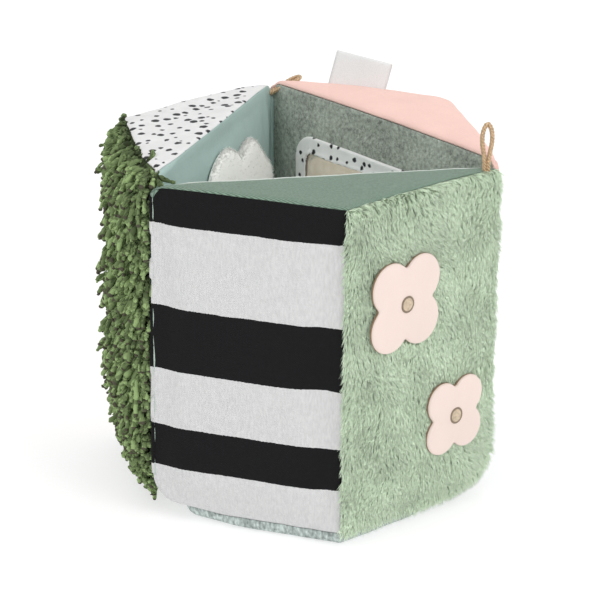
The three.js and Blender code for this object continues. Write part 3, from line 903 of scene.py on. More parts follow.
def scatter(name, panel, count, random):
    """Evenly spread random points on a cushion's panel, and the outward direction at each."""
    shell, points = surfaces[name]
    quads = np.array([f for f, p in zip(shell.faces, shell.panels) if p == panel and len(f) == 4])
    a, b, c, d = (points[quads[:, k]] for k in range(4))
    areas = np.linalg.norm(np.cross(c - a, d - b), axis=1)
    marks = (np.arange(count) + random.random(count)) / count
    chosen = quads[np.searchsorted(np.cumsum(areas) / areas.sum(), marks).clip(0, len(quads) - 1)]
    u, v = random.random((2, count, 1))
    normals = vertex_normals(points, shell.faces)

    def spread(values):
        a, b, c, d = (values[chosen[:, k]] for k in range(4))
        return (a * (1 - u) + b * u) * (1 - v) + (d * (1 - u) + c * u) * v

    return spread(points), unit(spread(normals))


def strand_mesh(roots, middles, tips, radii, random):
    """Closed three-sided strands that taper: points, triangles, and which triangles are the outer half."""
    count = len(roots)
    run = unit(middles - roots)
    side = unit(np.cross(run, random.normal(size=(count, 3))))
    other = np.cross(run, side)
    ring = [side * math.cos(a) + other * math.sin(a) for a in (0, 2 * math.pi / 3, 4 * math.pi / 3)]
    radii = radii[:, None]
    rows = [roots + r * radii for r in ring] + [middles + r * radii * 0.85 for r in ring] + [tips]
    points = np.stack(rows, 1).reshape(-1, 3)
    pattern = [(0, 1, 4), (0, 4, 3), (1, 2, 5), (1, 5, 4), (2, 0, 3), (2, 3, 5), (2, 1, 0)]
    pattern += [(3, 4, 6), (4, 5, 6), (5, 3, 6)]
    triangles = (np.arange(count)[:, None, None] * 7 + np.array(pattern)[None]).reshape(-1, 3)
    outer = np.tile(np.arange(10) >= 7, count)
    return points, triangles, outer


def clumps(x, y, spacing, random):
    """The nearest of many scattered clump centres, for points on a face: its place and its number."""
    columns = int(np.ceil((x.max() - x.min()) / spacing)) + 3
    rows = int(np.ceil((y.max() - y.min()) / spacing)) + 3
    shift = random.random((columns, rows, 2))
    column = ((x - x.min()) / spacing).astype(int) + 1
    row = ((y - y.min()) / spacing).astype(int) + 1
    best = np.full(len(x), np.inf)
    centre = np.zeros((len(x), 2))
    number = np.zeros(len(x), int)
    for dc in (-1, 0, 1):
        for dr in (-1, 0, 1):
            c, r = (column + dc).clip(0, columns - 1), (row + dr).clip(0, rows - 1)
            cx = x.min() + (c - 1 + shift[c, r, 0]) * spacing
            cy = y.min() + (r - 1 + shift[c, r, 1]) * spacing
            gap = (cx - x) ** 2 + (cy - y) ** 2
            nearer = gap < best
            best = np.where(nearer, gap, best)
            centre[nearer] = np.stack([cx, cy], -1)[nearer]
            number = np.where(nearer, c * rows + r, number)
    return centre, number


def under_shape(x, y, outline, centre, margin):
    """Which points of a face lie under a star-shaped piece sewn on it."""
    bearings = np.arctan2(outline[:, 1] - centre[1], outline[:, 0] - centre[0])
    reach = np.hypot(outline[:, 0] - centre[0], outline[:, 1] - centre[1])
    order = np.argsort(bearings)
    bearing = np.arctan2(y - centre[1], x - centre[0])
    edge = np.interp(bearing, bearings[order], reach[order], period=2 * math.pi)
    return np.hypot(x - centre[0], y - centre[1]) < edge - margin


FUR = (0.75, 0.895, 0.685)
FUR_SHADES = (0.72, 0.84, 0.95, 1.05, 1.14)
FUR_COUNT = 68000
FUR_LENGTH = 6.2 * MM
FUR_RADIUS = 0.185 * MM


def shade_slots(tone, outer, shades):
    """Each triangle's colour slot: its strand's tone, one shade lighter in the outer half, as painted shade at
    the roots and painted light on the tips.
    """
    base = np.repeat(tone, len(outer) // len(tone))
    return (base + np.where(outer, 1, 0)).clip(0, shades - 1)


def add_fur():
    """The fur: fine strands in soft locks, brushed down, that swirl a little and overhang the seams."""
    random = np.random.default_rng(11)
    count = FUR_COUNT
    roots, normals = scatter("front", 1, count, random)
    x, y, z = FUR_FACE.read(roots)
    open_ground = np.ones(count, bool)
    for flower in flower_places():
        open_ground &= ~under_shape(x, y, flower["outline"], flower["centre"], 2.5 * MM)
    roots, normals, x, y = roots[open_ground], normals[open_ground], x[open_ground], y[open_ground]
    count = len(roots)
    flat = np.stack([x, y, np.zeros(count)], -1)
    swirl = smooth_noise(flat, 26, 2.0) * 1.3 + smooth_noise(flat, 70, 9.0) * 0.55
    lift = smooth_noise(flat, 34, 14.0)
    mottle = smooth_noise(flat, 36, 21.0) + 0.6 * smooth_noise(flat, 90, 27.0)
    centre, number = clumps(x, y, 1.7 * MM, random)
    clump_turn = random.normal(0, 0.22, number.max() + 1)[number]
    clump_tone = random.normal(0, 0.45, number.max() + 1)[number]
    angle = swirl + clump_turn + random.normal(0, 0.16, count)
    sideways = np.sin(angle)
    downward = np.cos(angle)
    top = surfaces["front"][1][:, 2].max()
    near_top = np.exp(-((top - y) / (7 * MM)))
    near_start = np.exp(-x / (5 * MM))
    near_end = np.exp(-(FUR_FACE.width - x) / (5 * MM))
    sideways = sideways - 0.8 * near_start + 0.5 * near_end
    downward = downward - 1.1 * near_top
    along = np.array([*FUR_FACE.along, 0.0])
    lying = sideways[:, None] * along - downward[:, None] * np.array([0, 0, 1.0])
    stand = (0.30 + 0.22 * lift + 0.3 * near_top + random.normal(0, 0.07, count)).clip(0.05, 1.0)[:, None]
    length = (FUR_LENGTH * random.uniform(0.75, 1.1, count))[:, None]
    first = unit(lying + normals * (stand + 0.42))
    second = unit(lying + normals * (stand - 0.2))
    middles = roots + first * length * 0.5
    tips = middles + second * length * 0.5
    pull_x, pull_y = (centre - np.stack([x, y], -1)).T
    pull = pull_x[:, None] * along + pull_y[:, None] * np.array([0, 0, 1.0])
    tips = tips + pull * 0.4
    middles = middles + pull * 0.2
    radii = FUR_RADIUS * random.uniform(0.8, 1.2, count)
    # Painted light: tone rises towards the floor, so the lower fur is lighter, standing in for light thrown up
    # by the white floor.
    by_floor = 0.9 * np.exp(-(y - LOWER_SEAM) / (22 * MM))
    tone = 1.6 + by_floor + clump_tone + 1.9 * mottle + random.normal(0, 0.35, count)
    tone = np.round(tone).astype(int).clip(0, 3)
    paints = [yarn_paint("fur_%d" % k, scaled(FUR, s)) for k, s in enumerate(FUR_SHADES)]
    quarters = np.floor(4 * (y - y.min()) / (y.max() - y.min())).clip(0, 3)
    for quarter, part in enumerate(("lowest", "lower", "upper", "uppermost")):
        chosen = quarters == quarter
        strands = (roots[chosen], middles[chosen], tips[chosen], radii[chosen])
        points, triangles, outer = strand_mesh(*strands, random)
        slots = shade_slots(tone[chosen], outer, len(paints))
        piece = triangle_object("fur_pile_" + part, points, triangles, paints, slots)
        finish_piece(piece, "front_cushion", "fur", "front_fur_pile")


CHENILLE = (0.155, 0.213, 0.094)
CHENILLE_SHADES = (0.2, 0.58, 1.12, 1.95)
# Painted shade: a dark brownish colour for noodle tips seen dark against the light.
CHENILLE_SHADED_TIP = (0.085, 0.08, 0.055)
NOODLE_COUNT = 2300
NOODLE_LENGTH = 19 * MM
NOODLE_RADIUS = 1.35 * MM
NOODLE_REACH = 17 * MM
NOODLE_SIDES = 6
NOODLE_RINGS = 11


def add_chenille():
    """The chenille: soft, lumpy noodles of yarn that stand out of the cloth and droop."""
    random = np.random.default_rng(23)
    count = NOODLE_COUNT
    roots, normals = scatter("left", 1, count, random)
    x, y, z = CHENILLE_FACE.read(roots)
    lowest = LOWER_SEAM + 5 * MM + 5 * MM * np.exp(-x / (14 * MM))
    kept = (y > lowest) & (CHENILLE_FACE.width - x > 3.5 * MM)
    roots, normals, x, y = roots[kept], normals[kept], x[kept], y[kept]
    count = len(roots)
    along = np.array([*CHENILLE_FACE.along, 0.0])
    down = np.array([0, 0, -1.0])
    top = surfaces["left"][1][:, 2].max()
    near_top = np.exp(-(top - y) / (9 * MM))[:, None]
    near_start = np.exp(-x / (8 * MM))[:, None]
    near_end = np.exp(-(CHENILLE_FACE.width - x) / (8 * MM))[:, None]
    heading = normals * random.uniform(0.9, 1.4, (count, 1))
    heading = heading + random.normal(0, 0.35, (count, 3)).clip(-0.55, 0.55)
    heading = unit(heading - near_top * np.array([0, 0, 0.5]) + along * (0.1 * near_end - 0.3 * near_start))
    droop = random.uniform(0.22, 0.5, (count, 1)) * ((y - LOWER_SEAM) / (22 * MM)).clip(0.3, 1)[:, None]
    curl = random.normal(0, 0.2, (count, 3))
    by_hinge = ((CHENILLE_FACE.width - x) / (14 * MM)).clip(0.5, 1)
    by_floor = 0.38 + 0.62 * ((y - LOWER_SEAM) / (50 * MM)).clip(0, 1)
    by_top = 1 - 0.45 * near_top[:, 0]
    step = (NOODLE_LENGTH * random.uniform(0.75, 1.2, count) * by_hinge * by_floor * by_top)[:, None]
    share = np.concatenate([np.linspace(0, 0.9, NOODLE_RINGS - 2), [0.955, 0.985]])
    spine = [roots - normals * 0.5 * MM]
    headings = [heading]
    for ring in range(NOODLE_RINGS - 1):
        falling = down * droop * (0.15 + 2.7 * share[ring])
        heading = unit(heading + falling + curl + random.normal(0, 0.16, (count, 3)))
        inwards = np.minimum((heading * normals).sum(1, keepdims=True), 0)
        heading = unit(heading - normals * inwards)
        heading[:, 2] = np.minimum(heading[:, 2], 0.25)
        spine.append(spine[-1] + heading * step * (share[ring + 1] - share[ring]))
        headings.append(heading)
    spine, headings = np.stack(spine, 1), np.stack(headings, 1)
    out = CHENILLE_FACE.read(spine.reshape(-1, 3))[2].reshape(count, -1).max(1)
    room = np.minimum(NOODLE_REACH, 2 * MM + 0.5 * (CHENILLE_FACE.width - x))
    sideways = ((spine - roots[:, None]) @ along).max(1)
    beside = CHENILLE_FACE.width - 2 * MM - x
    shorter = np.minimum(room / np.maximum(out, 1e-9), beside / np.maximum(sideways, 1e-9))
    shorter = np.minimum(1, shorter)
    spine = roots[:, None] + (spine - roots[:, None]) * shorter[:, None, None]
    side = unit(np.cross(headings, np.array([0.3, 0.5, 0.81])))
    other = np.cross(headings, side)
    rounding = np.sqrt(1 - ((share - 0.9) / 0.1).clip(0, 1) ** 2)
    lumps = 1 + random.normal(0, 0.2, (count, NOODLE_RINGS, 1))
    lumps = lumps + random.normal(0, 0.14, (count, NOODLE_RINGS, NOODLE_SIDES))
    thickness = NOODLE_RADIUS * random.uniform(0.85, 1.15, (count, 1, 1)) * rounding[None, :, None] * lumps
    angles = 2 * math.pi * np.arange(NOODLE_SIDES) / NOODLE_SIDES
    rings = spine[:, :, None, :] + thickness[..., None] * (
        side[:, :, None, :] * np.cos(angles)[None, None, :, None]
        + other[:, :, None, :] * np.sin(angles)[None, None, :, None]
    )
    ends = np.stack([spine[:, 0], spine[:, -1] + headings[:, -1] * 0.3 * MM], 1)
    points = np.concatenate([rings.reshape(count, -1, 3), ends], 1)
    pattern, ring_of = [], []
    n = NOODLE_SIDES
    for ring in range(NOODLE_RINGS - 1):
        for k in range(n):
            a, b = ring * n + k, ring * n + (k + 1) % n
            pattern += [(a, b, b + n), (a, b + n, a + n)]
            ring_of += [ring, ring]
    root, tip, last = NOODLE_RINGS * n, NOODLE_RINGS * n + 1, (NOODLE_RINGS - 1) * n
    for k in range(n):
        pattern += [(root, (k + 1) % n, k), (tip, last + k, last + (k + 1) % n)]
        ring_of += [0, NOODLE_RINGS - 1]
    per_noodle = NOODLE_RINGS * n + 2
    depth = share[np.array(ring_of)]
    # Painted shade and light: each noodle is darkest at its root, deep in the pile, and lightest towards its
    # tip, where the light reaches.
    tone = random.normal(0, 0.5, (count, 1)) + 3.2 * np.sqrt(depth[None, :]) - 0.5
    tone = tone + random.normal(0, 0.35, (count, len(depth)))
    slots = np.round(tone).clip(0, len(CHENILLE_SHADES) - 1)
    # Painted shade: half the noodles end in a dark brownish tip, for tips seen dark against the light.
    shaded_tip = (random.random((count, 1)) < 0.5) & (depth[None, :] > 0.85)
    slots = np.where(shaded_tip, len(CHENILLE_SHADES), slots)
    shades = [scaled(CHENILLE, s) for s in CHENILLE_SHADES]
    paints = [yarn_paint("chenille_%d" % k, shade, sheen=0.4) for k, shade in enumerate(shades)]
    paints.append(yarn_paint("chenille_tip", CHENILLE_SHADED_TIP))
    for part, first, last in (("lower", 0, count // 2), ("upper", count // 2, count)):
        chosen = np.arange(first, last)
        faces = (np.arange(last - first)[:, None, None] * per_noodle + np.array(pattern)[None]).reshape(-1, 3)
        piece = triangle_object(
            "chenille_pile_" + part, points[chosen].reshape(-1, 3), faces, paints, slots[chosen].ravel()
        )
        finish_piece(piece, "left_cushion", "chenille", "left_chenille_pile")


# ---- Appliques ----
def face_box(face, node):
    """A flat CAD node's middle on its face (along, up, out) and its size (along, up, out)."""
    low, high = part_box(node)
    size, middle = high - low, (high + low) / 2
    c, s = abs(face.along[0]), abs(face.along[1])
    width = (c * size.x - s * size.y) / (c * c - s * s)
    depth = (c * size.y - s * size.x) / (c * c - s * s)
    x, y, z = face.read(np.array([middle]))
    return (float(x[0]), float(y[0]), float(z[0])), (width, size.z, depth)


def disc_union(discs, centre, steps):
    """The outline of overlapping discs, seen from a point inside them all."""
    angles = 2 * math.pi * np.arange(steps) / steps
    rays = np.stack([np.cos(angles), np.sin(angles)], -1)
    reach = np.zeros(steps)
    for cx, cy, radius in discs:
        offset = np.array([cx, cy]) - centre
        middle = rays @ offset
        under = radius**2 - (offset @ offset - middle**2)
        reach = np.maximum(reach, np.where(under > 0, middle + np.sqrt(np.maximum(under, 0)), 0))
    return np.array(centre) + rays * reach[:, None]


def soften(outline, times):
    """Eases the sharp notches of a closed outline."""
    for _ in range(times):
        outline = (np.roll(outline, 1, 0) + 2 * outline + np.roll(outline, -1, 0)) / 4
    return outline


def applique(name, face, outline, centre, profile, materials, slots):
    """A padded shape on a face: rings of (share, out), from its back's middle to its front's."""
    count = len(outline)
    centre = np.array(centre)
    rows = []
    for share, out in profile:
        flat = centre + (outline - centre) * share
        rows.append(face.place(flat[:, 0], flat[:, 1], out))
    points = np.concatenate(rows + [face.place(centre[0], centre[1], profile[0][1])[None]])
    points = np.concatenate([points, face.place(centre[0], centre[1], profile[-1][1])[None]])
    faces, face_slots = [], []
    for ring in range(len(profile) - 1):
        for k in range(count):
            a, b = ring * count + k, ring * count + (k + 1) % count
            faces.append((a, b, b + count, a + count))
            face_slots.append(slots[ring])
    last, back, front = (len(profile) - 1) * count, len(profile) * count, len(profile) * count + 1
    for k in range(count):
        faces.append((back, (k + 1) % count, k))
        face_slots.append(slots[0])
        faces.append((front, last + k, last + (k + 1) % count))
        face_slots.append(slots[-1])
    return mesh_object(name, points, faces, materials, face_slots)


def surface_out(name, panel, face, centre, radius):
    """How far a cushion's panel stands out of its face around a point, at most."""
    shell, points = surfaces[name]
    used = sorted({i for f, p in zip(shell.faces, shell.panels) if p == panel for i in f})
    x, y, z = face.read(points[used])
    near = np.hypot(x - centre[0], y - centre[1]) < radius
    return float(z[near].max())


FLOWER_NODES = ("flower_large", "flower_small")
# Each petal's middle and radius, as shares of the flower's width and height.
PETALS = ((0.222, 0.232, 0.268), (-0.218, 0.212, 0.272), (-0.234, -0.230, 0.266), (0.214, -0.214, 0.272))
FLOWER_RISE = 1.0 * MM
FLOWER_COLOUR = (0.78, 0.645, 0.59)
FLOWER_EDGE = (0.34, 0.22, 0.14)
EMBROIDERY = (0.54, 0.43, 0.31)


def flower_places():
    places = []
    for node in FLOWER_NODES:
        middle, size = face_box(FUR_FACE, node)
        unit_outline = soften(disc_union(PETALS, (0, 0), 144), 2)
        outline = np.array(middle[:2]) + unit_outline * np.array([size[0], size[1]])
        out = surface_out("front", 1, FUR_FACE, middle, 0.4 * size[0])
        place = {"node": node, "centre": middle[:2], "outline": outline, "out": out, "thickness": size[2]}
        places.append(place)
    return places


def add_flowers():
    petal = velour(
        "flower_velour", FLOWER_COLOUR, FUR_FACE.heading, nap=0.035, sheen=0.3, grain=900, strength=0.15
    )
    edge = cotton("flower_edge", FLOWER_EDGE, FUR_FACE.heading)
    thread = Paint("embroidery", roughness=0.6, sheen=0.2, specular=0.4)
    thread.face_place(FUR_FACE.heading)
    shade = thread.noise(700, detail=2)
    thread.colour(thread.ramp(shade, [(0.3, scaled(EMBROIDERY, 0.8)), (0.7, scaled(EMBROIDERY, 1.2))]))
    rim = cotton("embroidery_rim", scaled(EMBROIDERY, 0.5), FUR_FACE.heading)
    for place in flower_places():
        low = place["out"] + FLOWER_RISE
        high = low + place["thickness"]
        profile = [(0.4, low), (0.9, low), (0.985, low + 0.2 * MM)]
        profile += [(1.0, low + 0.8 * MM), (1.0, high - 1.1 * MM)]
        profile += [(0.992, high - 0.5 * MM), (0.97, high - 0.1 * MM), (0.93, high + 0.15 * MM)]
        profile += [(0.8, high + 0.45 * MM), (0.55, high + 0.6 * MM)]
        profile += [(0.3, high + 0.5 * MM), (0.12, high + 0.2 * MM)]
        slots = [1, 1, 1, 1, 0, 0, 0, 0, 0, 0, 0]
        materials = [petal.material, edge.material]
        centre = place["centre"]
        name, outline = place["node"] + "_petals", place["outline"]
        flower = applique(name, FUR_FACE, outline, centre, profile, materials, slots)
        finish_piece(flower, "front_cushion", "flower_velour", place["node"])
        add_flower_centre(place, high, thread.material, rim.material)


def add_flower_centre(place, high, thread, rim):
    """A satin-stitched disc: threads across it, and a darker rim of stitches round it."""
    node = place["node"] + "_centre"
    middle, size = face_box(FUR_FACE, node)
    radius = size[1] / 2
    steps = 96
    angles = 2 * math.pi * np.arange(steps) / steps
    x = middle[0] + radius * np.cos(angles) * 0.98
    y = middle[1] + radius * 1.04 * np.sin(angles)
    outline = np.stack([x, y], -1)
    stitches = 0.16 * MM * np.cos(24 * angles)
    rise = high + 0.35 * MM
    profile = [(0.5, rise - 0.6 * MM), (1.0, rise - 0.5 * MM), (1.03, rise + 0.1 * MM)]
    profile += [(0.97, rise + 0.45 * MM + stitches), (0.86, rise + 0.5 * MM + stitches)]
    profile += [(0.78, rise + 0.3 * MM + stitches / 2), (0.7, rise + 0.45 * MM)]
    profile += [(0.5, rise + 0.6 * MM), (0.25, rise + 0.65 * MM)]
    slots = [1, 1, 1, 1, 1, 0, 0, 0]
    disc = applique(node + "_stitches", FUR_FACE, outline, middle[:2], profile, [thread, rim], slots)
    finish_piece(disc, "front_cushion", "embroidery", node)


# The cloud's puffs, as shares of its width: along, up from its flat edge, and radius.
CLOUD_PUFFS = (
    (0.262, 0.235, 0.262),
    (0.62, 0.24, 0.206),
    (0.74, 0.17, 0.18),
    (0.841, 0.112, 0.159),
    (0.5, 0.1, 0.3),
)
CLOUD_COLOUR = (0.97, 0.965, 0.93)
CLOUD_SHADES = (0.98, 1.0, 1.03)
CLOUD_TUFTS = 5000


def add_cloud():
    """The cloud: a puffed shape in boucle, covered with short curly tufts."""
    middle, size = face_box(CLOUD_FACE, "cloud")
    width = size[0]
    base = middle[1] - size[1] / 2
    start = middle[0] - width / 2
    discs = [(start + a * width, base + u * width, r * width) for a, u, r in CLOUD_PUFFS]
    centre = (start + 0.5 * width, base + 0.2 * width)
    outline = soften(disc_union(discs, centre, 200), 2)
    outline[:, 1] = np.maximum(outline[:, 1], base + 0.6 * MM * np.sin(outline[:, 0] * 300))
    rest = surface_out("left", 2, CLOUD_FACE, centre, 0.3 * width)
    low, thick = rest - 0.5 * MM, size[2]
    profile = [(0.4, low), (0.95, low), (1.0, low + 0.15 * thick), (0.995, low + 0.45 * thick)]
    profile += [(0.96, low + 0.72 * thick), (0.88, low + 0.9 * thick)]
    profile += [(0.7, low + thick), (0.4, low + 1.05 * thick)]
    paint = velour("sherpa", CLOUD_COLOUR, CLOUD_FACE.heading, nap=0.03, sheen=0.3, grain=300, strength=0.22)
    slots = [0] * (len(profile) - 1)
    body = applique("cloud_body", CLOUD_FACE, outline, centre, profile, [paint.material], slots)
    fine = body.modifiers.new("fine", "SUBSURF")
    fine.levels = fine.render_levels = 1
    apply_modifiers(body)
    finish_piece(body, "left_cushion", "sherpa", "cloud")
    random = np.random.default_rng(31)
    count = CLOUD_TUFTS
    mesh = body.data
    points = coordinates(mesh)
    quads = np.array([tuple(p.vertices) for p in mesh.polygons if len(p.vertices) == 4])
    a, b, c, d = (points[quads[:, k]] for k in range(4))
    facing = np.cross(c - a, d - b)
    out = np.array([*CLOUD_FACE.out, 0.0])
    tilt = unit(facing) @ out
    weight = np.linalg.norm(facing, axis=1) * (tilt > -0.2) * (1.01 - tilt)
    chosen = np.searchsorted(np.cumsum(weight) / weight.sum(), random.random(count)).clip(0, len(quads) - 1)
    u, v = random.random((2, count, 1))
    roots = (a[chosen] * (1 - u) + b[chosen] * u) * (1 - v) + (d[chosen] * (1 - u) + c[chosen] * u) * v
    normals = unit(facing[chosen])
    first = unit(normals * 0.35 + random.normal(0, 0.6, (count, 3)))
    second = unit(random.normal(0, 0.8, (count, 3)))
    length = random.uniform(1.0, 2.4, (count, 1)) * MM
    middles = roots + first * length * 0.6
    tips = middles + second * length * 0.6
    radii = random.uniform(0.09, 0.14, count) * MM
    points, triangles, outer = strand_mesh(roots, middles, tips, radii, random)
    tone = random.integers(0, 2, count)
    paints = [yarn_paint("sherpa_%d" % k, scaled(CLOUD_COLOUR, s)) for k, s in enumerate(CLOUD_SHADES)]
    tufts = triangle_object("cloud_tufts", points, triangles, paints, shade_slots(tone, outer, 3))
    finish_piece(tufts, "left_cushion", "sherpa", "cloud")


# ---- Soft mirror ----
FRAME_RADIUS = 0.105
FRAME_BORDER = 0.0634
FRAME_STEPS = 480
MIRROR_STEPS = 160
# The frame's section in mm: how far inside its outline, how far out, and how much it gathers there.
FRAME_SECTION = (
    (0.2, 0.1, 0), (0.0, 0.4, 0), (0.0, 0.9, 0), (0.35, 1.4, 0), (1.2, 1.7, 0), (2.6, 1.5, 0), (4.5, 1.6, 0.3),
    (6.6, 1.6, 0.6), (8.0, 1.9, 1.1), (9.0, 2.5, 1.6), (9.6, 2.3, 1.7), (9.6, 1.7, 1.6), (9.0, 1.1, 0.9),
    (5.0, 0.6, 0),
)


def rounded_rectangle(middle, width, height, radius, steps):
    """A rounded rectangle's outline with the same number of points for every size."""
    corner = steps // 8
    straight = steps // 8
    rows = []
    for quarter, (sx, sy) in enumerate(((1, 1), (-1, 1), (-1, -1), (1, -1))):
        heart = np.array([sx * (width / 2 - radius), sy * (height / 2 - radius)])
        angles = math.pi / 2 * (quarter + np.arange(corner) / corner)
        rows.append(heart + radius * np.stack([np.cos(angles), np.sin(angles)], -1))
        turn = math.pi / 2 * (quarter + 1)
        start = heart + radius * np.array([math.cos(turn), math.sin(turn)])
        nx, ny = ((-1, 1), (-1, -1), (1, -1), (1, 1))[quarter]
        end = np.array([nx * (width / 2 - radius), ny * (height / 2 - radius)])
        end = end + radius * np.array([math.cos(turn), math.sin(turn)])
        shares = np.arange(straight)[:, None] / straight
        rows.append(start * (1 - shares) + end * shares)
    return np.concatenate(rows) + np.array(middle)


def add_mirror():
    """A soft mirror in a dotted frame whose inner edge is gathered over the mirror sheet."""
    middle, size = face_box(MIRROR_FACE, "mirror_frame")
    width, height = size[0], size[1]
    radius, border = FRAME_RADIUS * width, FRAME_BORDER * width
    steps = FRAME_STEPS
    rest = surface_out("rear", 2, MIRROR_FACE, middle, 0.35 * width)
    shell, points = surfaces["rear"]
    used = sorted({i for f, p in zip(shell.faces, shell.panels) if p == 2 for i in f})
    sx, sy, sz = MIRROR_FACE.read(points[used])

    def ground(flat):
        """The cushion's own bulge under points of the face."""
        gaps = (flat[:, None, 0] - sx[None]) ** 2 + (flat[:, None, 1] - sy[None]) ** 2
        nearest = np.argpartition(gaps, 6, axis=1)[:, :6]
        weights = 1 / (np.take_along_axis(gaps, nearest, 1) + 1e-6)
        return (sz[nearest] * weights).sum(1) / weights.sum(1)

    ruffle = np.array([noise(Vector((math.cos(a) * 30, math.sin(a) * 30, 0.5))) for a in
                       2 * math.pi * np.arange(steps) / steps])
    rows = []
    for inset, out, gather in FRAME_SECTION:
        inset = inset * MM
        across, up = width - 2 * inset, height - 2 * inset
        flat = rounded_rectangle(middle[:2], across, up, max(radius - inset, 2 * MM), steps)
        smaller = (across - 2 * MM, up - 2 * MM, max(radius - inset - MM, MM))
        drift = rounded_rectangle(middle[:2], *smaller, steps) - flat
        flat = flat + drift * (ruffle * gather)[:, None]
        z = ground(flat) + (out + 0.35 * gather * np.roll(ruffle, 5)) * MM
        rows.append(MIRROR_FACE.place(flat[:, 0], flat[:, 1], z))
    count, rings = steps, len(rows)
    faces = []
    for ring in range(rings):
        for k in range(count):
            a, b = ring * count + k, ring * count + (k + 1) % count
            up = count if ring < rings - 1 else -ring * count
            faces.append((a, b, b + up, a + up))
    heading = MIRROR_FACE.heading
    paint = dotted_cotton("dotted_cotton_frame", heading, 0.0085, 0.0013, 0.0019, 0.85, white=0.93)
    ring = mesh_object("mirror_frame_fabric", np.concatenate(rows), faces, [paint.material])
    finish_piece(ring, "rear_cushion", SLOT_OF["mirror_frame"], "mirror_frame")
    inner_width, inner_height = width - 2 * border + 6 * MM, height - 2 * border + 6 * MM
    inner_radius = radius - border + 3 * MM
    rows = []
    shares = (1.0, 0.9, 0.8, 0.7, 0.6, 0.5, 0.4, 0.3, 0.2, 0.1)
    for share in shares:
        flat = rounded_rectangle(middle[:2], inner_width, inner_height, inner_radius, MIRROR_STEPS)
        flat = np.array(middle[:2]) + (flat - middle[:2]) * share
        waves = smooth_noise(np.stack([flat[:, 0], flat[:, 1], flat[:, 0] * 0], -1), 22, 4.0) * 0.5
        rows.append(MIRROR_FACE.place(flat[:, 0], flat[:, 1], ground(flat) + (1.0 + waves) * MM))
    centre = MIRROR_FACE.place(middle[0], middle[1], ground(np.array([middle[:2]]))[0] + 1.0 * MM)
    faces = []
    for ring in range(len(shares) - 1):
        for k in range(MIRROR_STEPS):
            a, b = ring * MIRROR_STEPS + k, ring * MIRROR_STEPS + (k + 1) % MIRROR_STEPS
            faces.append((a, b, b + MIRROR_STEPS, a + MIRROR_STEPS))
    last, heart = (len(shares) - 1) * MIRROR_STEPS, len(shares) * MIRROR_STEPS
    faces += [(last + k, last + (k + 1) % MIRROR_STEPS, heart) for k in range(MIRROR_STEPS)]
    mirror = Paint("mirror_film", roughness=0.16, specular=0.5)
    mirror.face_place(MIRROR_FACE.heading)
    mirror.shader.inputs["Metallic"].default_value = 0.6
    # Partly painted reflection: the film's light, warm base colour brightens it as a bright reflection would;
    # the metallic part reflects for real.
    haze = mirror.noise(140, detail=3)
    mirror.colour(mirror.ramp(haze, [(0.3, (0.84, 0.74, 0.62)), (0.7, (0.99, 0.90, 0.79))]))
    mirror.bump(mirror.noise(70, detail=2), 0.35, 0.002)
    sheet = mesh_object("mirror_film", np.concatenate(rows + [centre[None]]), faces, [mirror.material])
    thick = sheet.modifiers.new("thick", "SOLIDIFY")
    thick.thickness = 0.5 * MM
    apply_modifiers(sheet)
    finish_piece(sheet, "rear_cushion", SLOT_OF["mirror_sheet"], "mirror_sheet")


# ---- Trim ----
def tube(name, path, ring_points, material, frames):
    """A closed tube: rings of (across, over) offsets round a path, with flat ends."""
    rows = []
    for centre, (across, over), offsets in zip(path, frames, ring_points):
        rows.append(centre + offsets[:, :1] * across + offsets[:, 1:] * over)
    n = len(ring_points[0])
    points = np.concatenate(rows + [path[:1], path[-1:]])
    faces = []
    for ring in range(len(path) - 1):
        for k in range(n):
            a, b = ring * n + k, ring * n + (k + 1) % n
            faces.append((a, b, b + n, a + n))
    first, last = len(path) * n, len(path) * n + 1
    top = (len(path) - 1) * n
    for k in range(n):
        faces += [(first, (k + 1) % n, k), (last, top + k, top + (k + 1) % n)]
    return mesh_object(name, points, faces, [material])


def smooth_path(points, steps):
    """A Catmull-Rom curve through points, at even distances."""
    points = np.asarray(points, float)
    padded = np.concatenate([[2 * points[0] - points[1]], points, [2 * points[-1] - points[-2]]])
    fine = []
    for k in range(len(points) - 1):
        p0, p1, p2, p3 = padded[k : k + 4]
        for t in np.linspace(0, 1, 24, endpoint=False):
            line = 2 * p1 + (p2 - p0) * t
            square = (2 * p0 - 5 * p1 + 4 * p2 - p3) * t**2
            cube = (3 * p1 - p0 - 3 * p2 + p3) * t**3
            fine.append(0.5 * (line + square + cube))
    fine.append(points[-1])
    fine = np.array(fine)
    lengths = np.concatenate([[0], np.cumsum(np.linalg.norm(np.diff(fine, axis=0), axis=1))])
    marks = np.linspace(0, lengths[-1], steps)
    return np.stack([np.interp(marks, lengths, fine[:, k]) for k in range(3)], -1)


GOLD = (0.56, 0.40, 0.25)
CORD_RADIUS = 1.4 * MM
CORD_PLIES = 3
CORD_TWIST = 5.5 * MM


def gold_paint():
    """Lurex cord: gold thread with a satin shine, wound in fine turns."""
    paint = Paint("gold_cord", roughness=0.42, specular=0.5)
    paint.shader.inputs["Metallic"].default_value = 0.55
    paint.face_place(0)
    shade = paint.noise(1600, detail=2)
    paint.colour(paint.ramp(shade, [(0.3, scaled(GOLD, 0.6)), (0.72, scaled(GOLD, 1.45))]))
    paint.bump(paint.noise(2500, detail=1), 0.4, 0.0002)
    return paint.material


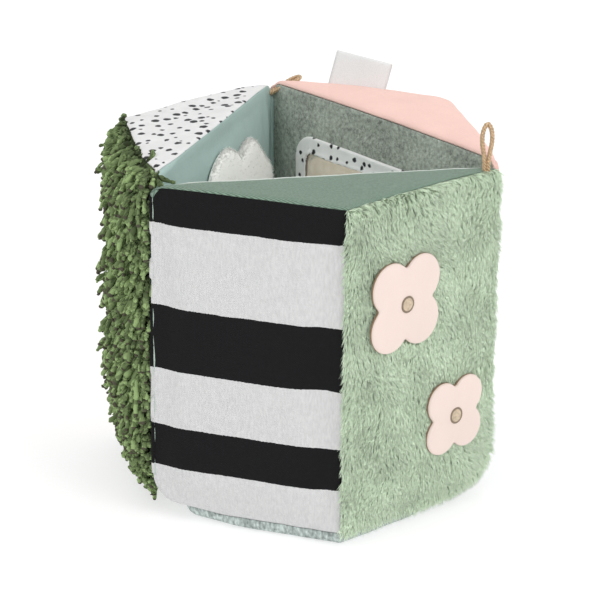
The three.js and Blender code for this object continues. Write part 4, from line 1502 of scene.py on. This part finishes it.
def add_loop(node, body, standing, material):
    """A sewn loop of twisted cord: three plies wound round each other along the loop's path."""
    low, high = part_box(node)
    size = high - low
    half_width = size.x / 2 - CORD_RADIUS - 0.6 * MM
    spread = 1.0 * MM
    if standing:
        length = size.z - CORD_RADIUS - 3 * MM
        root = np.array([(low.x + high.x) / 2, (low.y + high.y) / 2, low.z])
        rise = np.array([0, 0, 1.0])
        across = np.array([1.0, 0, 0])
        over = np.array([0, 1.0, 0])
    else:
        length = 1.2 * (size.y - CORD_RADIUS)
        root = np.array([*(RING[4] + unit(ring_centre - RING[4]) * 4 * MM), low.z - 5 * MM])
        rise = unit(np.array([0.82, -0.12, 0.46]))
        across = unit(np.array([-0.07, 1.0, 0.0]))
        over = np.cross(rise, across)
    turns = [(-spread, -0.12), (-spread - 0.3 * MM, 0.22), (-half_width, 0.6)]
    turns += [(-half_width * 0.82, 0.86), (0, 1.0)]
    turns += [(-a, b) for a, b in turns[-2::-1]]
    path = smooth_path([root + across * a + rise * b * length for a, b in turns], 120)
    run = unit(np.gradient(path, axis=0))
    side = unit(np.cross(run, over))
    total = np.linalg.norm(np.diff(path, axis=0), axis=1).sum()
    marks = np.linspace(0, total, len(path))
    ply_radius = CORD_RADIUS * 0.56
    ring = 2 * math.pi * np.arange(8) / 8
    circle = ply_radius * np.stack([np.cos(ring), np.sin(ring)], -1)
    for ply in range(CORD_PLIES):
        phase = 2 * math.pi * (marks / CORD_TWIST + ply / CORD_PLIES)
        centre = path + (CORD_RADIUS - ply_radius) * (
            np.cos(phase)[:, None] * side + np.sin(phase)[:, None] * over
        )
        frames = [(s, over) for s in side]
        piece = tube("%s_ply_%d" % (node, ply + 1), centre, [circle] * len(path), material, frames)
        finish_piece(piece, body, "gold_cord", node)


LABEL_PLY = 0.5 * MM
LABEL_FOLD = 2.6 * MM
LABEL_WIDTH = 34 * MM
LABEL_HEIGHT = 22 * MM
LABEL_LEAN = 20
LABEL_TURN = 8


def add_label():
    """A blank strip of woven tape, doubled over, with both ends in the seam. It curls a little."""
    low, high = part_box("seam_label")
    joint = JOINTS["label_flex"]
    along = np.array([*Face("rear", 1).along, 0.0])
    out = np.array([*Face("rear", 1).out, 0.0])
    lean, turn = math.radians(LABEL_LEAN), math.radians(LABEL_TURN)
    rise = math.cos(lean) * np.array([0, 0, 1.0]) + math.sin(lean) * out
    front = math.cos(lean) * out - math.sin(lean) * np.array([0, 0, 1.0])
    root = np.array(joint["pos_m"])
    root[2] = low.z
    bend = LABEL_FOLD / 2
    straight = LABEL_HEIGHT - bend
    stations = [(-bend, s * straight) for s in np.linspace(0, 1, 9)]
    turn_angles = np.linspace(0, math.pi, 9)[1:-1]
    stations += [(-bend * math.cos(a), straight + bend * math.sin(a)) for a in turn_angles]
    stations += [(bend, s * straight) for s in np.linspace(1, 0, 9)]
    columns = 18
    points = []
    for depth, height in stations:
        for k in range(columns + 1):
            share = k / columns - 0.5
            curl = (0.9 * share**2 + 0.25 * math.sin(share * 7)) * MM * (height / LABEL_HEIGHT) * 3
            pinch = 1 - 0.35 * math.exp(-height / (4 * MM))
            across, up = share * LABEL_WIDTH, height - 2 * MM
            shift = across * math.cos(turn) - up * math.sin(turn)
            lift = up * math.cos(turn) + across * math.sin(turn)
            points.append(root + along * shift + rise * lift + front * (depth * pinch + curl))
    faces = []
    for row in range(len(stations) - 1):
        for k in range(columns):
            a = row * (columns + 1) + k
            faces.append((a, a + 1, a + columns + 2, a + columns + 1))
    paint = Paint("label_tape", roughness=0.6, sheen=0.1)
    paint.face_place(Face("rear", 1).heading)
    tones = [(0.3, (0.78, 0.78, 0.775)), (0.7, (0.85, 0.85, 0.845))]
    paint.colour(paint.ramp(paint.noise(1800, detail=1), tones))
    plain_weave(paint, 1500, 0.4)
    label = mesh_object("seam_label_tape", points, faces, [paint.material])
    thick = label.modifiers.new("thick", "SOLIDIFY")
    thick.thickness = LABEL_PLY
    thick.offset = 0
    apply_modifiers(label)
    finish_piece(label, "label", "label_tape", "seam_label")


HINGE_HALF_WIDTH = 1.4 * MM
HINGE_THICKNESS = 0.6 * MM
HINGE_STEPS = 60
# How far inside the corner each strip runs, and how far it stops from its CAD strip's low and high ends.
HINGE_PLACE = {"front": (2.4 * MM, 30 * MM, 17 * MM), "rear": (2.0 * MM, 8 * MM, 6 * MM)}


def add_hinge(node, other, corner):
    """A strip of the well's cotton that joins two cushions' thin edges."""
    low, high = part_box(node)
    from_centre = unit(corner - ring_centre)
    tangent = np.array([-from_centre[1], from_centre[0]])
    towards = 1 if (CUSHIONS[other][0][1] - corner) @ tangent > 0 else -1
    tangent = tangent * towards
    depth, from_low, from_high = HINGE_PLACE[other]
    heights = np.linspace(low.z + from_low, high.z - from_high, HINGE_STEPS)
    angles = 2 * math.pi * np.arange(16) / 16
    path = np.array([[*(corner - from_centre * depth), z] for z in heights])
    rings = []
    for number, z in enumerate(heights):
        wobble = 1 + 0.12 * noise(Vector((0, 0, z * 60)))
        ends = 0.6 + 0.4 * math.sin(math.pi * min(1, min(number, HINGE_STEPS - 1 - number) / 3) / 2)
        flat, deep = HINGE_HALF_WIDTH * np.cos(angles), HINGE_THICKNESS * wobble * np.sin(angles)
        rings.append(np.stack([flat, deep], -1) * ends)
    across = np.array([*tangent, 0.0])
    over = np.array([*from_centre, 0.0])
    strip = tube(node + "_strip", path, rings, hinge_paint, [(across, over)] * len(path))
    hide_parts(node)
    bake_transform(strip)


WELL_EDGE_RADIUS = 0.5 * MM


def add_well_edge():
    """The pale turned edge of the front cushion's well panel, along its top seam."""
    shell, points = surfaces["front"]
    walls = [i for i, kind in enumerate(shell.kinds) if kind == "wall"]
    row = points[walls[-1] * shell.count : (walls[-1] + 1) * shell.count]
    path = smooth_path(row[shell.side_of == 2][3:-3] + np.array([0, 0, 0.35 * MM]), 140)
    run = unit(np.gradient(path, axis=0))
    over = np.array([0, 0, 1.0])
    side = unit(np.cross(run, over))
    angles = 2 * math.pi * np.arange(8) / 8
    rings = []
    for number in range(len(path)):
        fade = math.sin(math.pi * min(1, min(number, len(path) - 1 - number) / 12) / 2) + 0.05
        fold = WELL_EDGE_RADIUS * (1 + 0.25 * noise(Vector((number * 0.35, 0, 7.0)))) * fade
        rings.append(fold * np.stack([np.cos(angles), np.sin(angles)], -1))
    paint = cotton("mint_cotton_edge", (0.72, 0.78, 0.73), Face("front", 2).heading)
    edge = tube("front_well_edge", path, rings, paint.material, [(s, over) for s in side])
    finish_piece(edge, "front_cushion", "mint_cotton")


def paint_node(node, paint):
    """Gives a CAD node a procedural material."""
    materials = frame["nodes"][node].data.materials
    materials.clear()
    materials.append(paint.material)


hinge_paint = cotton("teal_cotton_hinge", TEAL, 0).material
add_fur()
add_chenille()
add_flowers()
add_cloud()
add_mirror()
gold = gold_paint()
add_loop("hanging_loop_front", "front_loop", True, gold)
add_loop("hanging_loop_rear", "rear_loop", False, gold)
add_label()
add_well_edge()
add_hinge("hinge_seam_front", "front", RING[0])
add_hinge("hinge_seam_rear", "rear", RING[4])
paint_node("squeaker", soft_plastic("squeaker_plastic", (0.75, 0.75, 0.73)))
paint_node("rattle", soft_plastic("rattle_plastic", (0.55, 0.62, 0.70)))
paint_node("crinkle_film", soft_plastic("crinkle_plastic", (0.70, 0.70, 0.66)))
